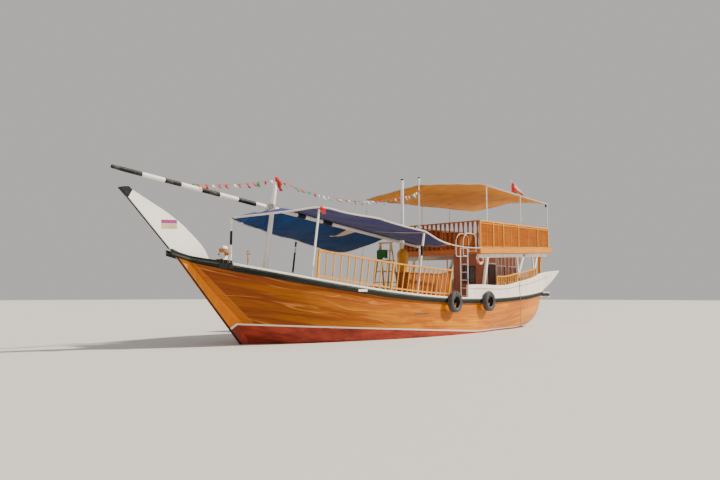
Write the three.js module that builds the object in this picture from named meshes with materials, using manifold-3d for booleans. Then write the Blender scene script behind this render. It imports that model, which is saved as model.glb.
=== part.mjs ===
// A wooden passenger dhow, afloat, in millimetres.
// +X points to the bow, +Y to port and +Z up. The origin is on the waterline, on the centreline,
// 8 m aft of the point where the stem leaves the water.
import * as THREE from 'three';
import { mergeVertices } from 'three/addons/utils/BufferGeometryUtils.js';
import Module from 'manifold-3d';

const wasm = await Module();
wasm.setup();

// Driving dimensions
const seat = 0.3; // clearance between pieces that rest on each other
const stem = { waterlineX: 8000, run: 0.9163, headZ: 2760, width: 240, halfThick: 80 };
const stemSlant = Math.sin(Math.atan(1 / stem.run));
const keel = { rabbetZ: -1150, bottomZ: -1400, halfThick: 80 };
const transom = { waterlineX: -8500, rake: 0.52, footZ: -350 };
const sheer = { lowX: -1500, lowZ: 1410, fore: 9.0e-6, aft: 5.4e-6 };
const bulwark = {
  thick: 90, footThick: 60, leastInner: 66, deckDrop: 280, capThick: 60, capOver: 80, capUnder: 20,
};
const strake = { height: 200, thick: 70 };
const deck = { thick: 40, foreEndX: 9600, clear: 2, foreClear: 14 };
const mast = { footX: 7140, topX: 6650, topZ: 5260, footR: 95, topR: 65 };
const yard = { y: -146.4, foreX: 12290, foreZ: 4840, aftX: -1610, aftZ: 3520, foreR: 62, midR: 75, aftR: 50 };
const house = { foreX: -5500, aftX: -9000, halfWidth: 850, wall: 45 };
const upper = { foreX: -2900, aftX: -10000, halfWidth: 2100, topZ: 3450, slope: 0.054, slab: 90, fascia: 240 };
const screenAftX = -9650;
const railTop = { foreZ: 4620, aftZ: 4800 };
const platform = { foreX: -9420, aftX: -10480, halfWidth: 1700, lowZ: 1400, topZ: 1660 };
const rudder = { pinHeel: [-8150, -1345], thick: 70, noseR: 45, gap: 62, topS: 2560 };
const propeller = { x: -7180, z: -835, radius: 370, hubR: 70, hubLength: 200, shaftR: 30 };
const engine = { x: -2500, length: 1300, width: 800, floorZ: -350, height: 950 };
const tyre = { outerR: 385, rimR: 215, halfWidth: 105 };

// Hull sections, from the bow to the stern.
// Columns: x, half-breadth at the rail, height of the keel rabbet, fullness of the side
const sectionTable = [
  [9960, 80, 0, 1.0],
  [9300, 610, 0, 1.15],
  [8300, 1190, 0, 1.35],
  [7200, 1610, 0, 1.6],
  [6621, 1780, -1150, 1.9],
  [5000, 2140, -1150, 2.8],
  [3000, 2400, -1150, 4.0],
  [500, 2530, -1150, 5.2],
  [-2000, 2540, -1150, 4.6],
  [-4300, 2440, -1150, 3.2],
  [-6900, 2220, -420, 5.2],
  [-8000, 2030, -380, 5.2],
  [-9375, 1790, transom.footZ, 5.2],
];
const stationXs = [
  9960, 9600, 9100, 8500, 7800, 7200, 6621, 5800, 5000, 4000, 3000, 1750, 500,
  -1000, -2000, -3200, -4300, -5600, -6900, -8000, -9375,
];
const skinSteps = [0, 0.12, 0.26, 0.42, 0.62];
const stemHeadStationX = 10480;

// Plain geometry helpers

function solidOf(geometry) {
  const plain = geometry.clone();
  plain.deleteAttribute('normal');
  plain.deleteAttribute('uv');
  const merged = mergeVertices(plain, 1e-3);
  return new wasm.Manifold(new wasm.Mesh({
    numProp: 3,
    vertProperties: new Float32Array(merged.attributes.position.array),
    triVerts: new Uint32Array(merged.index.array),
  }));
}

// Points closer than this are merged after a boolean, and the triangles they close up are dropped
const weldSpan = 0.12;

function geometryOf(solid) {
  const mesh = solid.getMesh();
  const p = mesh.vertProperties;
  const owner = Array.from({ length: p.length / 3 }, (_, i) => i);
  const find = (i) => {
    let k = i;
    while (owner[k] !== k) {
      k = owner[k];
    }
    return k;
  };
  const faces = Array.from(mesh.triVerts);
  faces.forEach((a, i) => {
    const b = faces[i % 3 === 2 ? i - 2 : i + 1];
    const span = Math.hypot(p[a * 3] - p[b * 3], p[a * 3 + 1] - p[b * 3 + 1], p[a * 3 + 2] - p[b * 3 + 2]);
    if (span < weldSpan) {
      owner[find(Math.max(a, b))] = find(Math.min(a, b));
    }
  });
  const index = [];
  for (let i = 0; i < faces.length; i += 3) {
    const [a, b, c] = [0, 1, 2].map((k) => find(faces[i + k]));
    if (a !== b && b !== c && c !== a) {
      index.push(a, b, c);
    }
  }
  const geometry = new THREE.BufferGeometry();
  geometry.setAttribute('position', new THREE.BufferAttribute(new Float32Array(p), 3));
  geometry.setIndex(new THREE.BufferAttribute(new Uint32Array(index), 1));
  return geometry;
}

function join(pieces) {
  return geometryOf(pieces.map(solidOf).reduce((sum, piece) => sum.add(piece)));
}

function cut(body, tools) {
  return geometryOf(tools.map(solidOf).reduce((rest, tool) => rest.subtract(tool), solidOf(body)));
}

function signedVolume(positions, index) {
  const a = new THREE.Vector3();
  const b = new THREE.Vector3();
  const c = new THREE.Vector3();
  let sum = 0;
  for (let i = 0; i < index.length; i += 3) {
    a.fromArray(positions, index[i] * 3);
    b.fromArray(positions, index[i + 1] * 3);
    c.fromArray(positions, index[i + 2] * 3);
    sum += a.dot(b.cross(c));
  }
  return sum;
}

function outward(positions, index) {
  const turned = signedVolume(positions, index) < 0;
  const faces = turned ? index.map((_, i) => index[i - (i % 3) + [0, 2, 1][i % 3]]) : index;
  const geometry = new THREE.BufferGeometry();
  geometry.setAttribute('position', new THREE.Float32BufferAttribute(positions, 3));
  geometry.setIndex(faces);
  return geometry;
}

function area2(points) {
  return points.reduce((sum, p, i) => {
    const q = points[(i + 1) % points.length];
    return sum + p.x * q.y - q.x * p.y;
  }, 0);
}

// Triangles that close one end ring; flat is the ring seen along the loft
function capFaces(flat, first, forward) {
  const ringSign = Math.sign(area2(flat));
  return THREE.ShapeUtils.triangulateShape(flat, []).flatMap(([a, b, c]) => {
    const same = Math.sign(area2([flat[a], flat[b], flat[c]])) === ringSign;
    return (same === forward ? [a, b, c] : [a, c, b]).map((i) => first + i);
  });
}

// A closed body through rings of [x, y, z] points, each quad split along its shorter diagonal
function loft(rings, flatten = ([, y, z]) => new THREE.Vector2(y, z)) {
  const n = rings[0].length;
  const points = rings.flat();
  const span = (i, j) => Math.hypot(...points[i].map((v, k) => v - points[j][k]));
  const index = [];
  for (let i = 0; i < rings.length - 1; i += 1) {
    for (let j = 0; j < n; j += 1) {
      const a = i * n + j;
      const b = i * n + ((j + 1) % n);
      if (span(a, b + n) < span(b, a + n)) {
        index.push(a, b, b + n, a, b + n, a + n);
      } else {
        index.push(a, b, a + n, b, b + n, a + n);
      }
    }
  }
  const last = (rings.length - 1) * n;
  index.push(...capFaces(rings[0].map(flatten), 0, false));
  index.push(...capFaces(rings[rings.length - 1].map(flatten), last, true));
  return outward(points.flat(), index);
}

function mirrored(geometry) {
  const positions = Array.from(geometry.attributes.position.array, (v, i) => (i % 3 === 1 ? -v : v));
  return outward(positions, Array.from(geometry.index.array));
}

// A plate with its outline in the XZ plane
function plateXZ(outline, y0, y1) {
  const rings = [y0, y1].map((y) => outline.map(([x, z]) => [x, y, z]));
  return loft(rings, ([x, , z]) => new THREE.Vector2(x, z));
}

function block([x0, x1], [y0, y1], [z0, z1]) {
  const geometry = new THREE.BoxGeometry(x1 - x0, y1 - y0, z1 - z0);
  geometry.translate((x0 + x1) / 2, (y0 + y1) / 2, (z0 + z1) / 2);
  return geometry;
}

// A straight bar of rectangular section from one point to another; wide is its level width
function bar(from, to, wide, high) {
  const a = new THREE.Vector3(...from);
  const b = new THREE.Vector3(...to);
  const along = b.clone().sub(a);
  const length = along.length();
  along.normalize();
  const upright = Math.abs(along.z) > 0.8;
  const level = upright ? new THREE.Vector3(0, 1, 0) : new THREE.Vector3(-along.y, along.x, 0).normalize();
  const third = new THREE.Vector3().crossVectors(along, level).normalize();
  const side = new THREE.Vector3().crossVectors(third, along);
  const geometry = new THREE.BoxGeometry(length, wide, high);
  geometry.applyMatrix4(new THREE.Matrix4().makeBasis(along, side, third));
  geometry.translate(...a.add(b).multiplyScalar(0.5).toArray());
  return geometry;
}

// A rail of level rectangular section through a run of points
function strip(points, wide, high) {
  return loft(points.map(([x, y, z]) => [
    [x, y - wide / 2, z - high / 2], [x, y + wide / 2, z - high / 2],
    [x, y + wide / 2, z + high / 2], [x, y - wide / 2, z + high / 2]]));
}

function rod(from, to, r0, r1 = r0, sides = 10) {
  const a = new THREE.Vector3(...from);
  const b = new THREE.Vector3(...to);
  const along = b.clone().sub(a);
  const geometry = new THREE.CylinderGeometry(r1, r0, along.length(), sides);
  geometry.applyQuaternion(new THREE.Quaternion().setFromUnitVectors(
    new THREE.Vector3(0, 1, 0), along.clone().normalize()));
  geometry.translate(...a.add(b).multiplyScalar(0.5).toArray());
  return geometry;
}

function tubeAlong(points, radius, sides, steps) {
  const curve = new THREE.CatmullRomCurve3(points.map((p) => new THREE.Vector3(...p)), false, 'centripetal');
  const ring = Array.from({ length: sides }, (_, i) => {
    const angle = (2 * Math.PI * i) / sides;
    return new THREE.Vector2(radius * Math.cos(angle), radius * Math.sin(angle));
  });
  return new THREE.ExtrudeGeometry(new THREE.Shape(ring), { steps, extrudePath: curve, bevelEnabled: false });
}

// A thin sheet between its upper side, a grid of points, and the same grid moved down
function sheet(grid, thick) {
  const rings = grid.map((row) => [...row, ...row.map(([x, y, z]) => [x, y, z - thick]).reverse()]);
  return loft(rings);
}

// The hull's form

const lerp = THREE.MathUtils.lerp;
const stemX = (z, inset = 0) => stem.waterlineX + stem.run * z - inset / stemSlant;
const stemRabbetZ = (x) => (x - stemX(0, stem.width)) / stem.run;
const transomX = (z) => transom.waterlineX - transom.rake * z;

function sheerZ(x) {
  const u = x - sheer.lowX;
  return sheer.lowZ + (u > 0 ? sheer.fore : sheer.aft) * u * u;
}
const hullTopZ = (x) => sheerZ(x) - bulwark.capThick;
function deckZ(x) {
  const u = Math.max(x - sheer.lowX, 0);
  return sheer.lowZ - bulwark.deckDrop + sheer.fore * u * u;
}

// Smooth values between the rows of the section table
function fromTable(x, column) {
  const i = Math.min(Math.max(sectionTable.findIndex((row) => row[0] <= x), 1), sectionTable.length - 1);
  const rows = [i - 2, i - 1, i, i + 1].map((k) => sectionTable[Math.min(Math.max(k, 0), sectionTable.length - 1)]);
  const slope = (a, b) => (a === b ? 0 : (b[column] - a[column]) / (b[0] - a[0]));
  const span = rows[2][0] - rows[1][0];
  const t = (x - rows[1][0]) / span;
  const m0 = (slope(rows[0], rows[1]) + slope(rows[1], rows[2])) / (rows[0] === rows[1] ? 1 : 2);
  const m1 = (slope(rows[1], rows[2]) + slope(rows[2], rows[3])) / (rows[2] === rows[3] ? 1 : 2);
  const t2 = t * t;
  const t3 = t2 * t;
  return (2 * t3 - 3 * t2 + 1) * rows[1][column] + (t3 - 2 * t2 + t) * span * m0
    + (3 * t2 - 2 * t3) * rows[2][column] + (t3 - t2) * span * m1;
}
const railY = (x) => (x >= sectionTable[0][0] ? stem.halfThick : fromTable(x, 1));
const innerY = (x) => Math.max(railY(x) - bulwark.thick, bulwark.leastInner);

// Height of the keel rabbet: up the stem, level, then up to the foot of the transom
function rabbetZ(x) {
  if (x > 6621) {
    return stemRabbetZ(x);
  }
  const [, rise, flat] = [0, sectionTable[10], sectionTable[9]];
  if (x >= flat[0]) {
    return keel.rabbetZ;
  }
  if (x >= rise[0]) {
    return lerp(flat[2], rise[2], (x - flat[0]) / (rise[0] - flat[0]));
  }
  return lerp(rise[2], transom.footZ, (x - rise[0]) / (transomX(transom.footZ) - rise[0]));
}

// Half a section's points, from the keel up the skin, over the bulwark and down to the deck
function halfSection(x) {
  const isTransom = x === stationXs[stationXs.length - 1];
  const top = hullTopZ(x);
  const low = isTransom ? transom.footZ : rabbetZ(x);
  const full = fromTable(x, 3);
  const strakeStep = 1 - Math.min(strake.height / (top - low), 0.34);
  const steps = [...skinSteps.map((s) => s * strakeStep), strakeStep, 1];
  const skin = steps.map((t) => {
    const y = stem.halfThick + (railY(x) - stem.halfThick) * (1 - (1 - t) ** full);
    return [y, low + t * (top - low)];
  });
  const floor = Math.min(Math.max(deckZ(x) - deck.thick - seat, low + 20), top - 10);
  const above = skin.findIndex(([, z]) => z >= floor);
  const [[y0, z0], [y1, z1]] = [skin[above - 1], skin[above]];
  const skinY = lerp(y0, y1, (floor - z0) / (z1 - z0));
  const floorY = Math.min(innerY(x), Math.max(skinY - bulwark.footThick, bulwark.leastInner));
  const rim = [[innerY(x), top], [floorY, floor]];
  return [...skin, ...rim].map(([y, z]) => [isTransom ? transomX(z) : x, y, z]);
}

function hullForm() {
  const rings = stationXs.map((x) => {
    const port = halfSection(x);
    return [...port, ...port.map(([px, y, z]) => [px, -y, z]).reverse()];
  });
  const pocket = block(
    [engine.x - engine.length / 2 - 80, engine.x + engine.length / 2 + 80],
    [-engine.width / 2 - 60, engine.width / 2 + 60],
    [engine.floorZ, deckZ(engine.x) + 50]);
  return cut(loft(rings), [pocket]);
}

function mainDeck() {
  return loft(stationXs.filter((x) => x <= deck.foreEndX).map((station) => {
    const [[, rimY, rimZ], [, floorY, floorZ]] = halfSection(station).slice(-2);
    const x = station < -9000 ? transomX(deckZ(station)) + 30 : station;
    const [high, low] = [deckZ(x), deckZ(x) - deck.thick].map((z) => {
      const wallY = lerp(floorY, rimY, (z - floorZ) / (rimZ - floorZ));
      const y = wallY - (x > 6000 ? deck.foreClear : deck.clear);
      return [[x, -y, z], [x, y, z]];
    });
    return [...high, ...low.reverse()];
  }));
}

const railStations = [stemHeadStationX, ...stationXs];

function rubStrake() {
  return loft(railStations.map((x) => {
    const [lowSkin, topSkin] = x > stationXs[0]
      ? [[x, stem.halfThick, hullTopZ(x) - strake.height * 0.6], [x, stem.halfThick, hullTopZ(x)]]
      : halfSection(x).slice(skinSteps.length, skinSteps.length + 2);
    const clear = 0.6;
    return [
      [lowSkin[0], lowSkin[1] + clear, lowSkin[2]],
      [topSkin[0], topSkin[1] + clear, topSkin[2]],
      [topSkin[0], topSkin[1] + strake.thick, topSkin[2]],
      [lowSkin[0], lowSkin[1] + strake.thick, lowSkin[2]],
    ];
  }));
}

function capRail() {
  return loft(railStations.map((x) => {
    const low = hullTopZ(x) + seat;
    const inner = Math.max(railY(x) - bulwark.thick - bulwark.capUnder, stem.halfThick + 0.5);
    const outer = railY(x) + bulwark.capOver;
    const top = sheerZ(x);
    return [[x, inner, low], [x, outer, low], [x, outer, top], [x, inner, top]];
  }));
}

// Columns: x, outer face, lower edge, upper edge of the raised quarter board
const quarterTable = [
  ...[[-1000, 1890], [-2000, 1915], [-3200, 1905], [-4300, 1920], [-5600, 2080], [-6900, 2230], [-8000, 2370],
    [-9375, 2590]].map(([x, top]) => [x, railY(x) + 60, sheerZ(x) + seat, top]),
  [-10000, 1890, 2020, 2660],
  [-10600, 1935, 2360, 2715],
  [-11110, 1960, 2690, 2750],
];
const quarterThick = 85;

function quarterBoard() {
  return loft(quarterTable.map(([x, y, low, top]) => [
    [x, y - quarterThick, low], [x, y, low], [x, y, top], [x, y - quarterThick, top]]));
}

function quarterTopZ(x) {
  const i = quarterTable.findIndex((row) => row[0] <= x);
  const [a, b] = [quarterTable[i - 1], quarterTable[i]];
  return lerp(a[3], b[3], (x - a[0]) / (b[0] - a[0]));
}
function quarterMidY(x) {
  const i = quarterTable.findIndex((row) => row[0] <= x);
  const [a, b] = [quarterTable[i - 1], quarterTable[i]];
  return lerp(a[1], b[1], (x - a[0]) / (b[0] - a[0])) - quarterThick / 2;
}

// The board that closes the stern, raked up to the cap rail. Columns: height, half-width
const transomRows = [[deckZ(-9000) + seat, 1699], [1600, 1699], [1690, 1678], [1760, 1678], [2400, 1690]];
function transomBoard() {
  const thick = 85;
  return loft(transomRows.map(([z, y]) => {
    const x = transomX(Math.min(z, 1760)) + 2;
    return [[x, -y, z], [x, y, z], [x + thick, y, z], [x + thick, -y, z]];
  }), ([x, y]) => new THREE.Vector2(x, y));
}

// Stem, keel, deadwood and sternpost as one backbone, with the propeller's opening cut in it
const postAftX = (z) => rudder.pinHeel[0] - transom.rake * (z - rudder.pinHeel[1]) + rudder.gap;
const pinDirection = new THREE.Vector3(-transom.rake, 0, 1).normalize();
const pinPoint = (s) => new THREE.Vector3(rudder.pinHeel[0], 0, rudder.pinHeel[1]).addScaledVector(pinDirection, s);
const gudgeons = { at: [260, 1250, 2240], half: 22, eyeR: 40, holeR: 17, pinR: 16.5, notchR: 62, notchHalf: 36 };

function backbone() {
  const inner = stem.width;
  const kneeX = stemX(keel.rabbetZ - seat, inner - seat);
  const [rise, flat] = [sectionTable[10], sectionTable[9]];
  const postTopZ = 1300;
  const outline = [
    [stemX(stem.headZ), stem.headZ],
    [stemX(2560, inner - seat), 2560],
    [kneeX, keel.rabbetZ - seat],
    [flat[0], flat[2] - seat],
    [rise[0], rise[2] - seat],
    [transomX(transom.footZ) - seat, transom.footZ - seat],
    [transomX(postTopZ) - seat, postTopZ],
    [postAftX(postTopZ), postTopZ],
    [postAftX(keel.bottomZ), keel.bottomZ],
    [stemX(keel.bottomZ), keel.bottomZ],
  ];
  const body = plateXZ(outline, -keel.halfThick, keel.halfThick);
  const reach = propeller.radius + 40;
  const opening = block([propeller.x - 300, propeller.x + 230], [-200, 200], [propeller.z - reach, propeller.z + reach]);
  const bore = rod([propeller.x, 0, propeller.z], [propeller.x + 760, 0, propeller.z],
    propeller.shaftR + 0.7, propeller.shaftR + 0.7, 24);
  const lugs = gudgeons.at.flatMap((s) => {
    const low = pinPoint(s - gudgeons.half);
    const high = pinPoint(s + gudgeons.half);
    const inside = new THREE.Vector3(pinDirection.z, 0, -pinDirection.x).multiplyScalar(rudder.gap + 50);
    const thick = 2 * gudgeons.half;
    return [
      rod(low.toArray(), high.toArray(), gudgeons.eyeR, gudgeons.eyeR, 16),
      bar(pinPoint(s).toArray(), pinPoint(s).add(inside).toArray(), 2 * gudgeons.eyeR, thick),
    ];
  });
  const holes = gudgeons.at.map((s) => rod(pinPoint(s - 60).toArray(), pinPoint(s + 60).toArray(),
    gudgeons.holeR, gudgeons.holeR, 16));
  return cut(join([cut(body, [opening, bore]), ...lugs]), holes);
}

function rudderForm() {
  // Columns: distance along the pins, level width of the blade aft of them
  const blade = [[0, 560], [200, 740], [700, 830], [1300, 700], [1800, 460], [rudder.topS, 330]];
  const line = blade.map(([s, w]) => [pinPoint(s).x - w, pinPoint(s).z]);
  const foot = pinPoint(0);
  const head = pinPoint(rudder.topS);
  const plate = plateXZ([[foot.x, foot.z], ...line, [head.x, head.z]], -rudder.thick / 2, rudder.thick / 2);
  const along = (s0, s1, r, sides) => rod(pinPoint(s0).toArray(), pinPoint(s1).toArray(), r, r, sides);
  const nose = along(24, rudder.topS - 26, rudder.noseR, 14);
  const { at, notchHalf, notchR, pinR } = gudgeons;
  const notches = at.map((s) => along(s - notchHalf, s + notchHalf, notchR, 18));
  const pins = at.map((s) => along(s - notchHalf - 20, s + notchHalf + 20, pinR, 12));
  return join([cut(join([plate, nose]), notches), ...pins]);
}

function propellerForm() {
  const { x, z, radius, hubR, hubLength, shaftR } = propeller;
  const hub = rod([x - hubLength / 2, 0, z], [x + hubLength / 2, 0, z], hubR, hubR, 18);
  const shaft = rod([x, 0, z], [x + 700, 0, z], shaftR, shaftR, 14);
  // Blade sections. Columns: radius, chord, thickness, pitch angle in degrees
  const sections = [[50, 130, 34, 62], [170, 230, 26, 42], [290, 240, 18, 30], [radius, 110, 10, 24]];
  const bladeRing = ([r, chord, thick, pitch]) => {
    const turn = THREE.MathUtils.degToRad(pitch);
    const corners = [[-0.5, 0], [-0.2, 0.5], [0.25, 0.45], [0.5, 0], [0.25, -0.45], [-0.2, -0.5]];
    return corners.map(([c, t]) => {
      const u = c * chord;
      const v = t * thick;
      return [u * Math.sin(turn) + v * Math.cos(turn), u * Math.cos(turn) - v * Math.sin(turn), r];
    });
  };
  const blades = [0, 1, 2].map((i) => {
    const blade = loft(sections.map(bladeRing), ([px, py]) => new THREE.Vector2(px, py));
    blade.rotateX((2 * Math.PI * i) / 3);
    blade.translate(x, 0, z);
    return blade;
  });
  return join([hub, shaft, ...blades]);
}

// Stemhead, spars and posts

const stemBoard = { halfThick: 55, tip: [12160, 4285], tipBase: [[11905, 4058], [11790, 4262]] };

function stemheadBoard() {
  return standOn(underDeck, plateXZ([
    [stemX(stem.headZ) - 2, stem.headZ + seat + 0.5],
    stemBoard.tipBase[0],
    stemBoard.tipBase[1],
    [11160, 3970], [10720, 3760], [10260, 3490], [9880, 3200], [9530, 2900], [9330, 2620], [9190, 2330],
    [9150, deckZ(9150) - 40],
    [9601, deckZ(9600) + 0.5],
    [9640, deckZ(9600) + 0.7],
    [9960, stemRabbetZ(9960) + 26.5],
    [stemX(2560, stem.width) - 2, 2561.5],
  ], -stemBoard.halfThick, stemBoard.halfThick));
}

function stemheadTip() {
  const [low, high] = stemBoard.tipBase;
  const clear = 0.4;
  return plateXZ([
    [low[0] + clear, low[1] + clear * 0.2],
    stemBoard.tip,
    [12020, 4330],
    [11890, 4345],
    [high[0] + clear, high[1] + clear * 0.6],
  ], -stemBoard.halfThick - 8, stemBoard.halfThick + 8);
}

const mastFoot = [mast.footX, 0, deckZ(mast.footX) - 80];
const mastForm = () => standOn(underDeck, rod(mastFoot, [mast.topX, 0, mast.topZ], mast.footR, mast.topR, 16));

const yardZ = (x) => lerp(yard.foreZ, yard.aftZ, (yard.foreX - x) / (yard.foreX - yard.aftX));
const yardMidX = 6200;
const yardR = (x) => (x > yardMidX
  ? lerp(yard.midR, yard.foreR, (x - yardMidX) / (yard.foreX - yardMidX))
  : lerp(yard.midR, yard.aftR, (yardMidX - x) / (yardMidX - yard.aftX)));
function yardForm() {
  const ring = (x, r) => Array.from({ length: 12 }, (_, i) => {
    const a = (2 * Math.PI * i) / 12;
    return [x, yard.y + r * Math.cos(a), yardZ(x) + r * Math.sin(a)];
  });
  return loft([yard.aftX, yardMidX, yard.foreX].map((x) => ring(x, yardR(x))));
}

// The blue awning is two thin sheets that meet over the yard and are tied down to the deck posts.
// Columns: x, then how far out and how high the edge is
const awningPort = [
  [8420, 70, 3825], [7860, 620, 3960], [7000, 1200, 4130], [6200, 1600, 4240], [5200, 1800, 4185],
  [3900, 2020, 4080], [2600, 2170, 3950], [1400, 2260, 3800], [300, 2230, 3570], [-350, 2190, 3445],
];
const awningStarboard = [
  [8420, -70, 3825], [7860, -390, 3800], [7000, -830, 3760], [6200, -1180, 3715], [5200, -1520, 3640],
  [3900, -1880, 3560], [2600, -2060, 3400], [1700, -2100, 3260], [900, -2100, 3260],
];
const awning = {
  thick: 10, lift: 0.4, flatHalf: 80, noseX: 8420, riseX: 6500, sag: 45, aftEnds: [-1500, 500],
};

function ridgeZ(x) {
  const onYard = yardZ(x) + yardR(x) + awning.thick + awning.lift;
  if (x <= awning.riseX) {
    return onYard;
  }
  const t = (awning.noseX - x) / (awning.noseX - awning.riseX);
  return lerp(awningPort[0][2], ridgeZ(awning.riseX), t);
}

function blueAwning(edge, aftEnd) {
  const side = Math.sign(edge[0][1]);
  const last = edge.length - 1;
  const grid = edge.map(([x, y1, z1], i) => {
    const nose = i === 0;
    const ridge = nose ? side * 0.5 : yard.y + side * 0.5;
    const half = nose ? 12 : awning.flatHalf;
    const ridgeX = i === last ? aftEnd : x;
    const low = awning.sag * Math.min(1, Math.abs(y1 - ridge) / 1500);
    const top = ridgeZ(ridgeX);
    return [
      [ridgeX, ridge, top],
      [ridgeX, ridge + side * half, top],
      [lerp(ridgeX, x, 0.5), lerp(ridge + side * half, y1, 0.5), lerp(top, z1, 0.5) - low],
      [x, y1, z1],
    ];
  });
  const slots = [
    block([6180, 7420], [-300, 150], [3800, 4700]),
    rod([mizzen.x, 0, 3000], [mizzen.x, 0, 4300], 120, 120, 12),
    rod([lampPole.x, 0, 3000], [lampPole.x, 0, 4300], 80, 80, 10),
  ];
  return cut(sheet(grid, awning.thick), slots);
}

const lampPoleForm = () => rod([lampPole.x, 0, 1000], [lampPole.x, 0, lampPole.topZ], lampPole.r, 30, 10);
const lampPole = { x: -1480, r: 38, topZ: 6420 };
const mizzen = { x: -280, casingR: 235, casingZ: 3150, domeZ: 3370, r: 68, topZ: 6180 };

function mizzenCasing() {
  const low = deckZ(mizzen.x) - 30;
  const profile = [[0, low], [mizzen.casingR, low], [mizzen.casingR, mizzen.casingZ]];
  const arc = [15, 35, 55].map((deg) => {
    const a = THREE.MathUtils.degToRad(deg);
    return [mizzen.casingR * Math.cos(a), mizzen.casingZ + (mizzen.domeZ - mizzen.casingZ) * Math.sin(a) * 1.2];
  });
  const points = [...profile, ...arc, [0, arc[2][1]]].map(([r, z]) => new THREE.Vector2(r, z));
  const geometry = new THREE.LatheGeometry(points, 20);
  geometry.rotateX(Math.PI / 2);
  geometry.translate(mizzen.x, 0, 0);
  return standOn(underDeck, geometry);
}

function outwardCopy(geometry) {
  const plain = geometry.clone();
  plain.deleteAttribute('normal');
  plain.deleteAttribute('uv');
  const merged = mergeVertices(plain, 1e-3);
  return outward(Array.from(merged.attributes.position.array), Array.from(merged.index.array));
}

const casingTopZ = mizzen.casingZ + (mizzen.domeZ - mizzen.casingZ) * Math.sin(THREE.MathUtils.degToRad(55)) * 1.2;

// Awning posts that stand on deck. Columns: name, foot x, foot y, head x, head y, head z, radius
const postTable = [
  ['awning_post_bow', 8470, 0, 8440, 0, 3800, 40],
  ['awning_post_port_fore', 6480, 1420, 6230, 1545, 4190, 38],
  ['awning_post_port_aft', 1930, 2200, 1430, 2225, 3740, 45],
  ['awning_post_starboard_fore', 4180, -1860, 3920, -1840, 3480, 38],
];

// Bodies that stand on a curved piece are trimmed a seat's width above it
function under(rows) {
  return loft(rows.map(([x, y0, y1, z]) => [[x, y0, z - 900], [x, y1, z - 900], [x, y1, z + seat], [x, y0, z + seat]]));
}
const deckStations = stationXs.filter((x) => x <= deck.foreEndX && x > -9000);
const underDeck = under([...deckStations, -9100].map((x) => [x, -2600, 2600, deckZ(x)]));
const underCap = under(railStations.filter((x) => x <= 9960).map((x) => [x, -2800, 2800, sheerZ(x)]));
const underQuarter = under(quarterTable.slice(0, 8).map(([x, , , top]) => [x, -2800, 2800, top]));
const standOn = (tool, geometry) => cut(outwardCopy(geometry), [tool]);

// Railings and balustrades

function sideRailing() {
  const foreX = 6540;
  const aftX = 330;
  const bays = 23;
  const railLine = (x) => railY(x) - 20;
  const footZ = (x) => sheerZ(x) - 25;
  const ends = Array.from({ length: bays + 1 }, (_, i) => {
    const t = i / bays;
    const x = lerp(foreX, aftX, t);
    const lean = lerp(80, 300, t);
    const height = lerp(900, 1010, t);
    return { foot: [x, railLine(x), footZ(x)], head: [x - lean, railLine(x), footZ(x) + height], t };
  });
  const at = (end, t) => end.foot.map((v, k) => lerp(v, end.head[k], t));
  const runs = ends.filter((_, i) => i % 4 === 0 || i === bays);
  const past = (run, t) => {
    const line = run.map((end) => at(end, t));
    line[0][0] += 40;
    line[line.length - 1][0] -= 40;
    return line;
  };
  const stout = [0, 11, bays];
  const posts = ends.map((end, i) => {
    const wide = stout.includes(i) ? 68 : 34;
    return bar(at(end, 0), at(end, 0.99), wide, wide + 6);
  });
  return standOn(underCap, join([...posts, strip(past(runs, 1), 76, 55), strip(past(runs, 0.13), 38, 58)]));
}

function lowBalustrade() {
  const foreX = -3500;
  const aftX = -8350;
  const bays = 26;
  const foot = (x) => quarterTopZ(x) - 20;
  const spot = (x, rise) => [x, quarterMidY(x), foot(x) + rise];
  const xs = Array.from({ length: bays + 1 }, (_, i) => lerp(foreX, aftX, i / bays));
  const pieces = xs.map((x, i) => bar(spot(x, 0), spot(x, 390), i % bays ? 32 : 60, i % bays ? 40 : 60));
  const inner = quarterTable.map((row) => row[0]).filter((x) => x < foreX && x > aftX);
  const runs = [foreX + 30, ...inner, aftX - 30];
  pieces.push(strip(runs.map((x) => spot(x, 390)), 62, 50));
  return standOn(underQuarter, join(pieces));
}

// The upper deck and what stands on it

const upperZ = (x) => upper.topZ + upper.slope * (upper.foreX - x);
const railTopZ = (x) => lerp(railTop.foreZ, railTop.aftZ, (upper.foreX - x) / (upper.foreX - screenAftX));

function slopedPlate(foreX, aftX, halfWidth, above, below) {
  return plateXZ([
    [foreX, upperZ(foreX) + above], [aftX, upperZ(aftX) + above],
    [aftX, upperZ(aftX) - below], [foreX, upperZ(foreX) - below],
  ], -halfWidth, halfWidth);
}

function upperDeck() {
  const { foreX, aftX, halfWidth, slab, fascia } = upper;
  const board = 60;
  const outer = slopedPlate(foreX, aftX, halfWidth, 0, fascia);
  const hollow = slopedPlate(foreX - board, aftX + board, halfWidth - board, -slab, fascia + 50);
  return cut(outer, [hollow]);
}

const underUpper = slopedPlate(upper.foreX + 100, upper.aftX - 100, 3000, seat, 600);

// Columns: x of each post on the side screens
const screenPostXs = [-2935, -4050, -4960, -6410, -8420, -9600];

function sideScreen() {
  const y = upper.halfWidth - 45;
  const low = (x) => upperZ(x) - 20;
  const pieces = [
    bar([-2920, y, railTopZ(-2920) - 30], [screenAftX, y, railTopZ(screenAftX) - 30], 75, 60),
    plateXZ([
      [-2930, low(-2930) + 40], [-2930, railTopZ(-2930) - 35],
      [screenAftX + 20, railTopZ(screenAftX) - 35], [screenAftX + 20, low(screenAftX) + 40],
    ], y - 12, y + 12),
    ...screenPostXs.map((x) => block([x - 30, x + 30], [y - 32, y + 38], [low(x), railTopZ(x) - 8])),
  ];
  return standOn(underUpper, join(pieces));
}

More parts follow.
